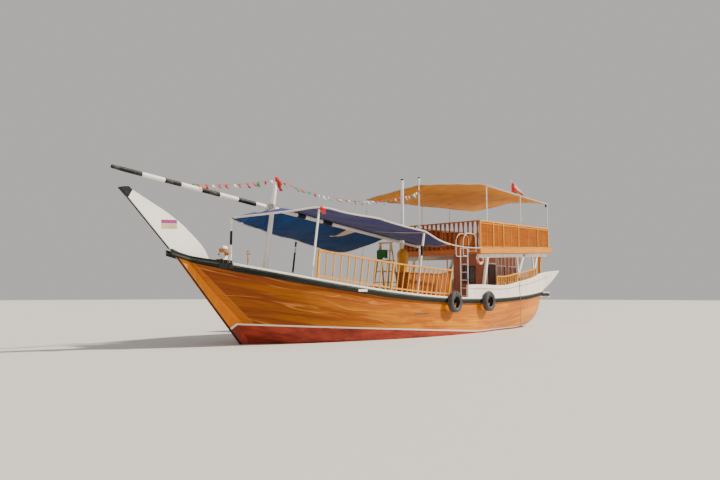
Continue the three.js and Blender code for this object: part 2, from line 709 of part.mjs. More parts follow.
// Turned balusters across the boat. Profile columns: share of the height, radius
const balusterProfile = [[0, 33], [0.18, 21], [0.45, 34], [0.75, 20], [1, 32]];

function crossBalustrade(x, count) {
  const halfWidth = upper.halfWidth - 100;
  const low = upperZ(x) - 20;
  const high = railTopZ(x) - 50;
  const pieces = [
    block([x - 38, x + 38], [-halfWidth, halfWidth], [high, high + 50]),
    block([x - 30, x + 30], [-halfWidth, halfWidth], [low + 90, low + 140]),
  ];
  for (let i = 0; i < count; i += 1) {
    const y = lerp(-halfWidth + 60, halfWidth - 60, i / (count - 1));
    const points = balusterProfile.map(([t, r]) => new THREE.Vector2(r, t * (high - low + 10)));
    const profile = [new THREE.Vector2(0, 0), ...points, new THREE.Vector2(0, high - low + 10)];
    const turned = new THREE.LatheGeometry(profile, 6);
    turned.rotateX(Math.PI / 2);
    turned.translate(x, y, low);
    pieces.push(outwardCopy(turned));
  }
  return standOn(underUpper, join(pieces));
}

// The buff awning. Columns: share across from starboard to port, y, fore x, fore z, aft z
const buffTable = [
  [0, -2100, -480, 5600, 6000],
  [0.25, -1050, -980, 5880, 6120],
  [0.5, 0, -1440, 6130, 6260],
  [0.75, 1050, -2470, 6180, 6160],
  [1, 2100, -3480, 6190, 6030],
];
const buff = { aftX: -9700, thick: 10, rows: 9 };
function buffPoint(t, u) {
  const i = Math.min(Math.floor(t * 4), 3);
  const [a, b] = [buffTable[i], buffTable[i + 1]];
  const k = (t - a[0]) * 4;
  const foreX = lerp(a[2], b[2], k);
  const foreZ = lerp(a[3], b[3], k);
  const aftZ = lerp(a[4], b[4], k);
  const sag = 70 * Math.sin(Math.PI * u) * Math.sin(Math.PI * t);
  return [lerp(foreX, buff.aftX, u), lerp(a[1], b[1], k), lerp(foreZ, aftZ, u) - sag];
}
function buffAwning() {
  const grid = Array.from({ length: 5 }, (_, j) =>
    Array.from({ length: buff.rows }, (_, i) => buffPoint(j / 4, i / (buff.rows - 1))));
  const rings = grid.map((row) => [...row, ...row.map(([x, y, z]) => [x, y, z - buff.thick]).reverse()]);
  const body = loft(rings, ([x, , z]) => new THREE.Vector2(x, z));
  return cut(body, [rod([lampPole.x, 0, 5500], [lampPole.x, 0, 6600], 60, 60, 10)]);
}

const edgeY = upper.halfWidth - 45;
function buffEdgeZ(side, x) {
  const t = side > 0 ? (edgeY + 2100) / 4200 : (2100 - edgeY) / 4200;
  const foreX = buffPoint(t, 0)[0];
  return buffPoint(t, (x - foreX) / (buff.aftX - foreX))[2] - buff.thick;
}
function awningPoles(side, xs) {
  const poleR = 24;
  const edgeR = 20;
  const topZ = (x) => buffEdgeZ(side, x) - edgeR - 0.6;
  const pieces = xs.map((x) => rod([x, side * edgeY, railTopZ(x) + 1], [x, side * edgeY, topZ(x)], poleR, poleR, 8));
  for (let i = 0; i < xs.length - 1; i += 1) {
    const [a, b] = [xs[i] + 18, xs[i + 1] - 18];
    pieces.push(rod([a, side * edgeY, topZ(a)], [b, side * edgeY, topZ(b)], edgeR, edgeR, 8));
  }
  return join(pieces);
}

// The pole under the buff awning's fore corner stands on the starboard cap rail
const forePole = { footX: -470, footY: -2500, headX: -570, headY: -2065, r: 24 };
function awningForePole() {
  const { footX, footY, headX, headY, r } = forePole;
  const t = (headY + 2100) / 4200;
  const foreX = buffPoint(t, 0)[0];
  const headZ = buffPoint(t, (headX - foreX) / (buff.aftX - foreX))[2] - buff.thick - 16;
  return standOn(underCap, rod([footX, footY, sheerZ(footX) - 60], [headX, headY, headZ], r, r, 8));
}

// Shelter under the upper deck

// Columns: foot x, head x and distance out of each leaning post
const shelterPosts = [[-3290, -3810, 1900], [-5920, -7230, 1895], [-7760, -8790, 1850]];
const shelterY = 1900;
function shelterFrame() {
  const beamDeep = 330;
  const below = (x) => upperZ(x) - upper.slab - seat;
  const beam = plateXZ([
    [-3020, below(-3020)], [-9700, below(-9700)],
    [-9700, below(-9700) - beamDeep], [-3020, below(-3020) - beamDeep],
  ], shelterY - 50, shelterY + 50);
  const posts = shelterPosts.map(([footX, headX, y]) => {
    const headZ = below(headX) - 120;
    return bar([footX + 20, y, deckZ(footX) - 60], [headX, y, headZ], 110, 125);
  });
  const braces = shelterPosts.slice(1).map(([footX, headX, y]) => {
    const t = 0.55;
    const x = lerp(footX, headX, t);
    const z = lerp(deckZ(footX), below(headX), t);
    return bar([x, y, z], [x + 60, y, below(x) - 120], 70, 70);
  });
  return standOn(underDeck, join([beam, ...posts, ...braces]));
}

// Deckhouse walls, each cut for its windows and doors

const houseFloor = deckZ(-6000) + seat;
const houseTop = (x) => upperZ(x) - upper.slab - seat;
const door = { foreX: -5720, width: 760, height: 1780, thick: 35, clear: 6 };

function sideWall(side) {
  const { foreX, aftX, halfWidth, wall } = house;
  const y = side * halfWidth;
  const outline = [[foreX, houseFloor], [foreX, houseTop(foreX)], [aftX, houseTop(aftX)], [aftX, houseFloor]];
  const [y0, y1] = side > 0 ? [y - wall, y] : [y, y + wall];
  const through = [y - 100, y + 100];
  const windows = [-7050, -8150].map((x) => block([x - 380, x + 380], through, [2150, 2850]));
  const doorway = block([door.foreX - door.width, door.foreX], through, [houseFloor - 50, houseFloor + door.height + 20]);
  return cut(plateXZ(outline, y0, y1), [...windows, doorway]);
}

function endWall(x, windowYs) {
  const inner = house.halfWidth - house.wall - seat;
  const [x0, x1] = x === house.foreX ? [x - house.wall, x] : [x, x + house.wall];
  const lowTop = Math.min(houseTop(x0), houseTop(x1));
  const windows = windowYs.map((y) => block([x - 100, x + 100], [y - 280, y + 280], [2100, 2800]));
  return cut(block([x0, x1], [-inner, inner], [houseFloor, lowTop]), windows);
}

function houseDoor(side) {
  const inner = house.halfWidth - house.wall + (house.wall - door.thick) / 2;
  const low = houseFloor + door.clear;
  const high = houseFloor + door.height;
  const hingeX = door.foreX - door.clear;
  const ys = [side * inner, side * (inner + door.thick)].sort((a, b) => a - b);
  const leaf = block([door.foreX - door.width + door.clear, hingeX], ys, [low, high]);
  const knuckles = [0.15, 0.5, 0.85].map((t) => {
    const z = lerp(low, high, t);
    return rod([hingeX, side * inner, z - 45], [hingeX, side * inner, z + 45], 5.6, 5.6, 16);
  });
  return join([leaf, ...knuckles]);
}

// Deck fittings

const ladder = {
  x: -2200, ys: [1545, 1885], topZ: 3430, firstRungZ: 1455, rungStep: 325, tube: 20, rung: 15,
  hoop: 14, hoopForeX: -1865, hoopTopZ: 4030, hoopJoinZ: 3080, hoopFootZ: 3290,
};
function deckLadder() {
  const { x, ys, topZ, tube, hoop, hoopForeX, hoopTopZ, hoopJoinZ, hoopFootZ } = ladder;
  const pieces = ys.map((y) => rod([x, y, deckZ(x) + seat + 0.2], [x, y, topZ], tube, tube, 8));
  for (let z = ladder.firstRungZ; z < topZ; z += ladder.rungStep) {
    pieces.push(rod([x, ys[0] - 5, z], [x, ys[1] + 5, z], ladder.rung, ladder.rung, 6));
  }
  // Two hooped grab rails, from the ladder over to the front of the upper deck
  const aftX = upper.foreX + hoop + 8;
  ys.forEach((y) => {
    const route = [[x, hoopJoinZ], [hoopForeX - 60, hoopJoinZ + 5], [hoopForeX, hoopJoinZ + 70],
      [hoopForeX, 3640], [hoopForeX - 70, 3850], [hoopForeX - 230, 3985], [hoopForeX - 430, hoopTopZ],
      [aftX + 220, hoopTopZ - 10], [aftX + 60, 3930], [aftX, 3740], [aftX, hoopFootZ]];
    pieces.push(outwardCopy(tubeAlong(route.map(([px, z]) => [px, y, z]), hoop, 6, 30)));
    pieces.push(rod([aftX, y, hoopFootZ + 40], [upper.foreX + seat, y, hoopFootZ + 40], 22, 22, 8));
  });
  pieces.push(rod([aftX, ys[0] - 5, hoopFootZ + 40], [aftX, ys[1] + 5, hoopFootZ + 40], 12, 12, 6));
  return join(pieces);
}

function sternPlatform() {
  const { foreX, aftX, halfWidth, lowZ, topZ } = platform;
  const slat = 55;
  const pieces = [-halfWidth + 60, -560, 560, halfWidth - 60].map((y) =>
    block([aftX + 20, foreX], [y - 60, y + 60], [lowZ + slat - 5, topZ - slat + 5]));
  const gap = 35;
  const count = 8;
  const wide = (foreX - aftX - gap * (count - 1)) / count;
  for (let i = 0; i < count; i += 1) {
    const x = aftX + i * (wide + gap);
    pieces.push(block([x, x + wide], [-halfWidth, halfWidth], [topZ - slat, topZ]));
  }
  pieces.push(block([aftX, aftX + 110], [-halfWidth, halfWidth], [lowZ, lowZ + slat]));
  pieces.push(block([foreX - 110, foreX], [-halfWidth, halfWidth], [lowZ, lowZ + slat]));
  const arms = [-560, 560].map((y) => plateXZ([
    [foreX - 60, topZ - slat - 10], [transomX(topZ - slat - 10) - 1, topZ - slat - 10],
    [transomX(lowZ) - 1, lowZ], [foreX - 60, lowZ],
  ], y - 60, y + 60));
  return join([...pieces, ...arms]);
}

function sternColumn(side) {
  const y = side * 1600;
  const x = -9600;
  const below = (px) => upperZ(px) - upper.slab - seat;
  const post = block([x - 60, x + 60], [y - 60, y + 60], [platform.topZ + seat, below(x + 60)]);
  const brace = bar([x, y, 3050], [x - 285, y, below(x - 285) - 60], 80, 80);
  const top = plateXZ([[x + 60, below(x + 60)], [-9935, below(-9935)], [-9935, below(-9935) - 90],
    [x + 60, below(x + 60) - 90]], y - 60, y + 60);
  return join([post, brace, top]);
}

// The rail's half-breadth along the straight facets between stations
function facetRailY(x) {
  const i = stationXs.findIndex((station) => station <= x);
  const [a, b] = [stationXs[i - 1], stationXs[i]];
  return lerp(railY(a), railY(b), (x - a) / (b - a));
}

function tyreForm(x, z) {
  const { outerR, rimR, halfWidth } = tyre;
  const profile = [[rimR, -halfWidth * 0.7], [outerR * 0.86, -halfWidth], [outerR, -halfWidth * 0.72],
    [outerR, halfWidth * 0.72], [outerR * 0.86, halfWidth], [rimR, halfWidth * 0.7],
    [rimR + 25, halfWidth * 0.45], [rimR + 25, -halfWidth * 0.45]];
  const points = [...profile, profile[0]].map(([r, y]) => new THREE.Vector2(r, y));
  const geometry = outwardCopy(new THREE.LatheGeometry(points, 28));
  const widest = Math.max(...[-300, -150, 0, 150, 300].map((dx) => facetRailY(x + dx)));
  const y = widest + bulwark.capOver + halfWidth + seat + 0.5;
  geometry.translate(x, y, z);
  return geometry;
}

function lifebuoy() {
  const radius = 240;
  const tube = 58;
  const points = Array.from({ length: 9 }, (_, i) => {
    const a = (2 * Math.PI * i) / 8;
    return new THREE.Vector2(radius + tube * Math.cos(a), tube * Math.sin(a));
  });
  const geometry = outwardCopy(new THREE.LatheGeometry(points, 24));
  geometry.translate(-3385, shelterY - 50 - tube - seat, 3068);
  return geometry;
}

function grapnel() {
  const ground = deckZ(8120);
  const crown = [8120, 420, ground + 15];
  const eye = [8000, 260, ground + 760];
  const pieces = [rod(crown, eye, 26, 22, 10), outwardCopy(eyeRing(eye, 60, 13))];
  [[1, 0], [-1, 0], [0, 1], [0, -1]].forEach(([ux, uy]) => {
    const route = [[0, 0], [250, 10], [365, 160], [345, 360]];
    const points = route.map(([out, up]) => [crown[0] + ux * out, crown[1] + uy * out, crown[2] + up]);
    [24, 21, 18].forEach((r, i) => pieces.push(rod(points[i], points[i + 1], r, r - 3, 8)));
  });
  return standOn(underDeck, join(pieces));
}

function eyeRing([x, y, z], radius, tube) {
  const points = Array.from({ length: 7 }, (_, i) => {
    const a = (2 * Math.PI * i) / 6;
    return new THREE.Vector2(radius + tube * Math.cos(a), tube * Math.sin(a));
  });
  const ring = new THREE.LatheGeometry(points, 14);
  ring.rotateX(Math.PI / 2);
  ring.rotateY(Math.PI / 2);
  ring.translate(x, y, z + radius - 10);
  return ring;
}

function samsonPost() {
  const x = 8720;
  const low = deckZ(x) - 60;
  const body = block([x - 90, x + 90], [-90, 90], [low, 2960]);
  const pin = block([x - 32, x + 32], [-250, 250], [2680, 2745]);
  return standOn(underDeck, join([body, pin]));
}

function stepLadder() {
  const foot = deckZ(1200);
  const top = [1230, 3500];
  const pieces = [];
  [-1, 1].forEach((lean) => {
    const footX = top[0] + lean * 420;
    [60, 560].forEach((y) => {
      const wide = y === 60 ? -120 : 120;
      pieces.push(bar([footX, y + wide, foot - 60], [top[0] + lean * 12, y, top[1]], 60, 45));
    });
    [0.16, 0.34, 0.52, 0.7, 0.86].forEach((t) => {
      const x = lerp(footX, top[0], t);
      const z = lerp(foot, top[1], t);
      const spread = 120 * (1 - t);
      pieces.push(bar([x, 60 - spread - 10, z], [x, 560 + spread + 10, z], lean > 0 ? 90 : 40, 34));
    });
  });
  pieces.push(block([top[0] - 90, top[0] + 90], [20, 600], [top[1] - 35, top[1] + 15]));
  return standOn(underDeck, join(pieces));
}

function sideLocker() {
  const [x0, x1] = [-700, 2150];
  const [y0, y1] = [1480, 2060];
  const low = deckZ(x1) + seat;
  const bodyAll = plateXZ([[x0, deckZ(x0) + 4], [x0, 2290], [x1, 2290], [x1, low + 4], [500, deckZ(500) + 4]], y0, y1);
  const top = block([x0 - 40, x1 + 40], [y0 - 40, y1 + 20], [2270, 2310]);
  return join([bodyAll, top]);
}

const flagstaff = { foot: [-9690, 0], top: [-9910, 7520], footR: 20, topR: 14, gap: 0.5 };
const flagstaffFootZ = railTopZ(flagstaff.foot[0]) + seat;
const flagstaffX = (z) => lerp(flagstaff.foot[0], flagstaff.top[0], (z - flagstaffFootZ) / (flagstaff.top[1] - flagstaffFootZ));
function ensign() {
  const [highZ, lowZ] = [7380, 6780];
  const off = flagstaff.topR + flagstaff.gap + 1.4;
  const grid = Array.from({ length: 7 }, (_, i) => {
    const t = i / 6;
    const y = 480 * t + 30 * Math.sin(t * 6);
    const from = (z) => flagstaffX(z) - off - t * 450;
    return [[from(highZ), y, highZ - 560 * t ** 1.15], [from(lowZ), y, lowZ - 190 * t]];
  });
  const rings = grid.map(([a, b]) => [[a[0], a[1] - 4, a[2]], [a[0], a[1] + 4, a[2]],
    [b[0], b[1] + 4, b[2]], [b[0], b[1] - 4, b[2]]]);
  return loft(rings);
}

// The loose end of rope that hangs from the quarter down the side
const ropeR = 11;
const ropeOuter = quarterMidY(-5740) + quarterThick / 2 - 60;
const ropeRoute = [
  [-5740, 71.6, 2050], [-5741, 71.6, 1950], [-5742, 72, 1850], [-5743, 76, 1740], [-5744, 86, 1620],
  [-5745, 92.4, 1510], [-5746, 92.4, 1400], [-5748, 91, 1300], [-5746, 88, 1150], [-5742, 84, 1000],
  [-5738, 81, 850], [-5736, 80, 700], [-5738, 79, 550], [-5742, 77, 400], [-5746, 75, 260], [-5748, 74, 150],
].map(([x, out, z]) => [x, ropeOuter + out, z]);

// Finishes. Columns: colour, roughness, metalness
const finishes = {
  planking: [0xb5651d, 0.45, 0],
  timber: [0xc98a45, 0.5, 0],
  darkTimber: [0x6d3417, 0.55, 0],
  whitePaint: [0xe9e4da, 0.5, 0],
  blackPaint: [0x1c1d20, 0.5, 0],
  greyPaint: [0x565b58, 0.6, 0],
  blueCloth: [0x3a3f78, 0.9, 0],
  navyCloth: [0x0f2f55, 0.9, 0],
  buffCloth: [0xc98a2e, 0.9, 0],
  rubber: [0x16171a, 0.85, 0],
  bronze: [0x9a7434, 0.4, 1],
  iron: [0x8a6a45, 0.6, 0.6],
  steel: [0xd8d8d4, 0.4, 0.2],
  redCloth: [0xb3231f, 0.9, 0],
  rope: [0x8b8f7c, 0.95, 0],
  deckWood: [0xa9875f, 0.7, 0],
  bottomPaint: [0x7c2a22, 0.6, 0],
};

const boat = new THREE.Group();

function add(name, geometry, finish) {
  const [color, roughness, metalness] = finishes[finish];
  const mesh = new THREE.Mesh(geometry, new THREE.MeshStandardMaterial({ color, roughness, metalness }));
  mesh.name = name;
  boat.add(mesh);
}

function addPair(name, geometry, finish) {
  add(`${name}_port`, geometry, finish);
  add(`${name}_starboard`, mirrored(outwardCopy(geometry)), finish);
}

add('hull', hullForm(), 'planking');
add('keel_and_stem', backbone(), 'bottomPaint');
add('main_deck', mainDeck(), 'deckWood');
addPair('rub_strake', rubStrake(), 'greyPaint');
addPair('cap_rail', capRail(), 'whitePaint');
addPair('quarter_board', quarterBoard(), 'whitePaint');
add('transom_board', transomBoard(), 'whitePaint');
add('stemhead_board', stemheadBoard(), 'whitePaint');
add('stemhead_tip', stemheadTip(), 'blackPaint');
add('engine', block(
  [engine.x - engine.length / 2, engine.x + engine.length / 2],
  [-engine.width / 2, engine.width / 2],
  [engine.floorZ + seat, engine.floorZ + seat + engine.height]), 'greyPaint');
add('rudder', rudderForm(), 'bottomPaint');
add('propeller', propellerForm(), 'bronze');

add('mast', mastForm(), 'whitePaint');
add('yard', yardForm(), 'whitePaint');
add('blue_awning_port', blueAwning(awningPort, awning.aftEnds[0]), 'blueCloth');
add('blue_awning_starboard', blueAwning(awningStarboard, awning.aftEnds[1]), 'navyCloth');
postTable.forEach(([name, footX, footY, headX, headY, headZ, r]) => {
  const post = rod([footX, footY, deckZ(footX) - 60], [headX, headY, headZ], r, r * 0.9, 10);
  add(name, standOn(underDeck, post), 'whitePaint');
});
add('mizzen_casing', mizzenCasing(), 'timber');
add('mizzen_pole', rod([mizzen.x, 0, casingTopZ + seat], [mizzen.x, 0, mizzen.topZ], mizzen.r, mizzen.r, 14), 'whitePaint');
add('lamp_pole', standOn(underDeck, lampPoleForm()), 'whitePaint');

add('side_railing_port', sideRailing(), 'timber');
addPair('low_balustrade', lowBalustrade(), 'timber');
addPair('shelter_frame', shelterFrame(), 'whitePaint');
add('upper_deck', upperDeck(), 'timber');
addPair('upper_screen', sideScreen(), 'timber');
add('upper_balustrade_fore', crossBalustrade(upper.foreX - 40, 18), 'darkTimber');
add('upper_balustrade_aft', crossBalustrade(screenAftX - 40, 18), 'darkTimber');
add('buff_awning', buffAwning(), 'buffCloth');
add('awning_poles_port', awningPoles(1, [-3540, -6700, -9620]), 'steel');
add('awning_poles_starboard', awningPoles(-1, [-4670, -7150, -9620]), 'steel');
add('awning_pole_fore', awningForePole(), 'steel');
add('flagstaff', rod(
  [flagstaff.foot[0], 0, flagstaffFootZ + 2], [flagstaff.top[0], 0, flagstaff.top[1]],
  flagstaff.footR, flagstaff.topR, 8), 'steel');
add('ensign', ensign(), 'redCloth');

add('house_wall_port', sideWall(1), 'timber');
add('house_wall_starboard', sideWall(-1), 'timber');
add('house_wall_fore', endWall(house.foreX, [0]), 'timber');
add('house_wall_aft', endWall(house.aftX, [-380, 380]), 'timber');
add('house_door_port', houseDoor(1), 'darkTimber');
add('house_door_starboard', houseDoor(-1), 'darkTimber');

add('upper_deck_ladder', deckLadder(), 'steel');
add('stern_platform', sternPlatform(), 'whitePaint');
add('stern_column_port', sternColumn(1), 'timber');
add('stern_column_starboard', sternColumn(-1), 'timber');
add('tyre_fender_fore', tyreForm(160, 1240), 'rubber');
add('tyre_fender_aft', tyreForm(-2390, 1250), 'rubber');
add('lifebuoy', lifebuoy(), 'redCloth');
add('grapnel_anchor', grapnel(), 'iron');
add('samson_post', samsonPost(), 'whitePaint');
add('step_ladder', stepLadder(), 'timber');
add('side_locker', sideLocker(), 'timber');
add('hanging_rope', outwardCopy(tubeAlong(ropeRoute, ropeR, 8, 30)), 'rope');

export default boat;
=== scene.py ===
import random
from math import atan, atan2, copysign, cos, exp, hypot, pi, radians, sin, tan

import bmesh
import bpy
from mathutils import Matrix, Vector


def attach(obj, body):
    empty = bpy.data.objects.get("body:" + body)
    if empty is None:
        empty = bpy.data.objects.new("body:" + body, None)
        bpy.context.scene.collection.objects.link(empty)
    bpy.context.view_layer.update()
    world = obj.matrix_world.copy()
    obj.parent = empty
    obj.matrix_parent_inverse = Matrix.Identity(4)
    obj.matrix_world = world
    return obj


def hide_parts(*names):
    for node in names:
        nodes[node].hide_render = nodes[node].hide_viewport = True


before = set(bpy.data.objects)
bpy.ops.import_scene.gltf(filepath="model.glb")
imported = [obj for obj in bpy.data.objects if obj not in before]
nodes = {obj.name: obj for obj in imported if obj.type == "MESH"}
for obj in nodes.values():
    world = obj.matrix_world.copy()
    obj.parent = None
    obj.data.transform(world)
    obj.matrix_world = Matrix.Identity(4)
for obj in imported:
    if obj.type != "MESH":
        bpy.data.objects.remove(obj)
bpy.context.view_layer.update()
print("frame loaded")

# The camera stands off the port bow, just above the water, as in the photo
camera = {"place": (20.93, 15.56, 1.48), "heading": (-0.766, -0.643), "pitch": 4.88, "lens": 32.5}


def makeCamera(place, heading, pitch, lens):
    data = bpy.data.cameras.new("view")
    data.lens = lens
    data.sensor_width = 36
    data.clip_end = 500
    eye = bpy.data.objects.new("view", data)
    rise = tan(radians(pitch))
    aim = Vector((*heading, rise * hypot(*heading)))
    eye.location = place
    eye.rotation_euler = aim.to_track_quat("-Z", "Y").to_euler()
    bpy.context.collection.objects.link(eye)
    bpy.context.scene.camera = eye


makeCamera(**camera)


# Small helpers for numbers and paths

def lerp(a, b, t):
    return a + (b - a) * t


def clamp(v, low=0.0, high=1.0):
    return max(low, min(high, v))


def smoothRow(rows, x, column):
    # a smooth value between table rows whose first column falls
    i = next((k for k, row in enumerate(rows) if row[0] <= x), len(rows) - 1)
    i = max(i, 1)
    four = [rows[max(0, min(k, len(rows) - 1))] for k in (i - 2, i - 1, i, i + 1)]

    def slope(a, b):
        return 0 if a is b else (b[column] - a[column]) / (b[0] - a[0])

    span = four[2][0] - four[1][0]
    t = (x - four[1][0]) / span
    m0 = (slope(four[0], four[1]) + slope(four[1], four[2])) / (1 if four[0] is four[1] else 2)
    m1 = (slope(four[1], four[2]) + slope(four[2], four[3])) / (1 if four[2] is four[3] else 2)
    t2, t3 = t * t, t * t * t
    return ((2 * t3 - 3 * t2 + 1) * four[1][column] + (t3 - 2 * t2 + t) * span * m0
            + (3 * t2 - 2 * t3) * four[2][column] + (t3 - t2) * span * m1)


def spread(a, b, count):
    return [lerp(a, b, i / (count - 1)) for i in range(count)]


def turns(count):
    # angles all the way round, in even steps
    return [2 * pi * i / count for i in range(count)]


def clothGrid(rows, columns, at):
    # rows of points; at(t, u) gives the point at a share down and a share across
    return [[Vector(at(i / rows, j / columns)) for j in range(columns + 1)] for i in range(rows + 1)]


sides = ((1, "Port"), (-1, "Starboard"))


def curveThrough(points, steps):
    # a smooth path through points, steps per span
    pts = [Vector(p) for p in points]
    path = []
    for i in range(len(pts) - 1):
        p0, p1, p2, p3 = pts[max(i - 1, 0)], pts[i], pts[i + 1], pts[min(i + 2, len(pts) - 1)]
        for k in range(steps):
            t = k / steps
            path.append(0.5 * (2 * p1 + (p2 - p0) * t + (2 * p0 - 5 * p1 + 4 * p2 - p3) * t * t
                               + (3 * p1 - p0 - 3 * p2 + p3) * t * t * t))
    return path + [pts[-1]]


# Mesh parts: a part is points, faces, a UV for each face corner and a paint number

def makePart(points, faces, uv=None, paint=0):
    return {"points": [tuple(p) for p in points], "faces": faces, "uv": uv, "paint": paint}


def loft(rings, paint=0, capped=True, uv=None, closed=False):
    # a body through rings of points; uv(i, j) gives the UV of point j on ring i
    # closed joins the last ring to the first
    n, count = len(rings[0]), len(rings)
    faces, corners = [], []
    for i in range(count if closed else count - 1):
        near, far = i * n, (i + 1) % count * n
        for j in range(n):
            k = (j + 1) % n
            faces.append((near + j, near + k, far + k, far + j))
            if uv:
                corners.append([uv(i, j), uv(i, j + 1), uv(i + 1, j + 1), uv(i + 1, j)])
    if capped and not closed:
        last = (count - 1) * n
        faces += [tuple(range(n))[::-1], tuple(range(last, last + n))]
        if uv:
            corners += [[uv(0, j) for j in range(n)][::-1], [uv(count - 1, j) for j in range(n)]]
    return makePart([p for ring in rings for p in ring], faces, corners or None, paint)


def tube(path, radius, around=12, paint=0, closed=False):
    # a round tube along a path; radius is one number or one for each point
    pts = [Vector(p) for p in path]
    radii = radius if isinstance(radius, (list, tuple)) else [radius] * len(pts)
    n = len(pts)
    ends = [(i - 1, (i + 1) % n) if closed else (max(i - 1, 0), min(i + 1, n - 1)) for i in range(n)]
    along = [(pts[b] - pts[a]).normalized() for a, b in ends]
    side = along[0].orthogonal().normalized()
    rings, run = [], [0]
    for i in range(n):
        side = (side - along[i] * side.dot(along[i])).normalized()
        other = along[i].cross(side)
        rings.append([pts[i] + (side * cos(a) + other * sin(a)) * radii[i] for a in turns(around)])
        run.append(run[-1] + (pts[(i + 1) % n] - pts[i]).length)
    return loft(rings, paint, uv=lambda i, j: (j / around, run[i]), closed=closed)


def lathe(profile, centre, axis="Z", around=32, paint=0):
    # profile points are (radius, height); a zero radius at the ends closes the form
    rings = []
    for r, h in profile:
        r = max(r, 1e-4)
        ring = []
        for a in turns(around):
            u, v = r * cos(a), r * sin(a)
            ring.append({"Z": (u, v, h), "X": (h, u, v), "Y": (v, h, u)}[axis])
        rings.append([tuple(c + p for c, p in zip(centre, point)) for point in ring])
    return loft(rings, paint, uv=lambda i, j: (j / around, profile[i][1]))


def plateXZ(outline, y0, y1, paint=0):
    return loft([[(x, y, z) for x, z in outline] for y in (y0, y1)], paint)


def brick(low, high, paint=0):
    (x0, y0, z0), (x1, y1, z1) = low, high
    return plateXZ([(x0, z0), (x1, z0), (x1, z1), (x0, z1)], y0, y1, paint)


def beam(start, end, wide, high, paint=0):
    # a straight bar; wide is its level width and high the other one
    a, b = Vector(start), Vector(end)
    along = (b - a).normalized()
    level = Vector((0, 1, 0)) if abs(along.z) > 0.8 else Vector((-along.y, along.x, 0)).normalized()
    third = along.cross(level).normalized()
    side = third.cross(along)
    rings = [[p + side * (s * wide / 2) + third * (t * high / 2) for s, t in ((-1, -1), (1, -1), (1, 1), (-1, 1))]
             for p in (a, b)]
    return loft(rings, paint)


def makeMesh(name, parts):
    points, faces, paints, uvs = [], [], [], []
    for item in parts:
        base = len(points)
        points += item["points"]
        for k, face in enumerate(item["faces"]):
            faces.append(tuple(base + v for v in face))
            paints.append(item["paint"])
            uvs += item["uv"][k] if item["uv"] else [(points[base + v][0], points[base + v][2]) for v in face]
    mesh = bpy.data.meshes.new(name)
    mesh.from_pydata(points, [], faces)
    layer = mesh.uv_layers.new(name="surface")
    layer.data.foreach_set("uv", [c for pair in uvs for c in pair])
    mesh.polygons.foreach_set("material_index", paints)
    return mesh


def makePiece(name, parts, paints, instead=(), slot=None, body="boat", bevel=0.0, sharp=35, outward=True):
    # one object of the boat, shaded smooth except at its sharp edges
    mesh = makeMesh(name, parts)
    if outward:
        bm = bmesh.new()
        bm.from_mesh(mesh)
        bmesh.ops.recalc_face_normals(bm, faces=bm.faces)
        bm.to_mesh(mesh)
        bm.free()
    mesh.polygons.foreach_set("use_smooth", [True] * len(mesh.polygons))
    mesh.set_sharp_from_angle(angle=radians(sharp))
    return finishPiece(name, mesh, paints, instead, body, bevel)


def easeEdges(piece, width):
    edge = piece.modifiers.new("edges", "BEVEL")
    edge.width = width
    edge.segments = 2
    edge.limit_method = "ANGLE"
    edge.angle_limit = radians(40)


def thicken(piece, thick):
    shell = piece.modifiers.new("cloth", "SOLIDIFY")
    shell.thickness = thick
    return shell


def finishPiece(name, mesh, paints, instead=(), body="boat", bevel=0.0):
    for paint in paints if isinstance(paints, (list, tuple)) else [paints]:
        mesh.materials.append(paint)
    piece = bpy.data.objects.new(name, mesh)
    bpy.context.collection.objects.link(piece)
    if bevel:
        easeEdges(piece, bevel)
    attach(piece, body)
    if instead:
        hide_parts(*([instead] if isinstance(instead, str) else instead))
    return piece


# Shader nodes as Python expressions

def mathNode(kind, turned=False):
    # a method that adds one Math node, with its two sides swapped in the reflected form
    def method(self, other):
        left, right = (other, self) if turned else (self, other)
        return self.paint.add("ShaderNodeMath", {"operation": kind}, {0: left, 1: right})

    return method


class Wire:
    def __init__(self, paint, socket):
        self.paint = paint
        self.socket = socket

    __add__, __radd__ = mathNode("ADD"), mathNode("ADD", True)
    __sub__, __rsub__ = mathNode("SUBTRACT"), mathNode("SUBTRACT", True)
    __mul__, __rmul__ = mathNode("MULTIPLY"), mathNode("MULTIPLY", True)
    __truediv__, __rtruediv__ = mathNode("DIVIDE"), mathNode("DIVIDE", True)
    __gt__, __lt__ = mathNode("GREATER_THAN"), mathNode("LESS_THAN")


def feed(tree, socket, value):
    if isinstance(value, Wire):
        value = value.socket
    if isinstance(value, bpy.types.NodeSocket):
        tree.links.new(value, socket)
    elif socket.type == "RGBA" and len(value) == 3:
        socket.default_value = (*value, 1)
    else:
        socket.default_value = value


def setStops(ramp, stops):
    # hard bands of colour, each from its place to the next one
    ramp.interpolation = "CONSTANT"
    while len(ramp.elements) < len(stops):
        ramp.elements.new(1)
    for element, (place, colour) in zip(ramp.elements, stops):
        element.position = place
        element.color = (*colour, 1)


def addNode(tree, kind, settings, inputs):
    # one node of any kind: first its settings, then the values or links of its sockets
    node = tree.nodes.new(kind)
    for key, value in settings.items():
        if key == "stops":
            setStops(node.color_ramp, value)
        else:
            setattr(node, key, value)
    for key, value in inputs.items():
        feed(tree, node.inputs[key], value)
    return node


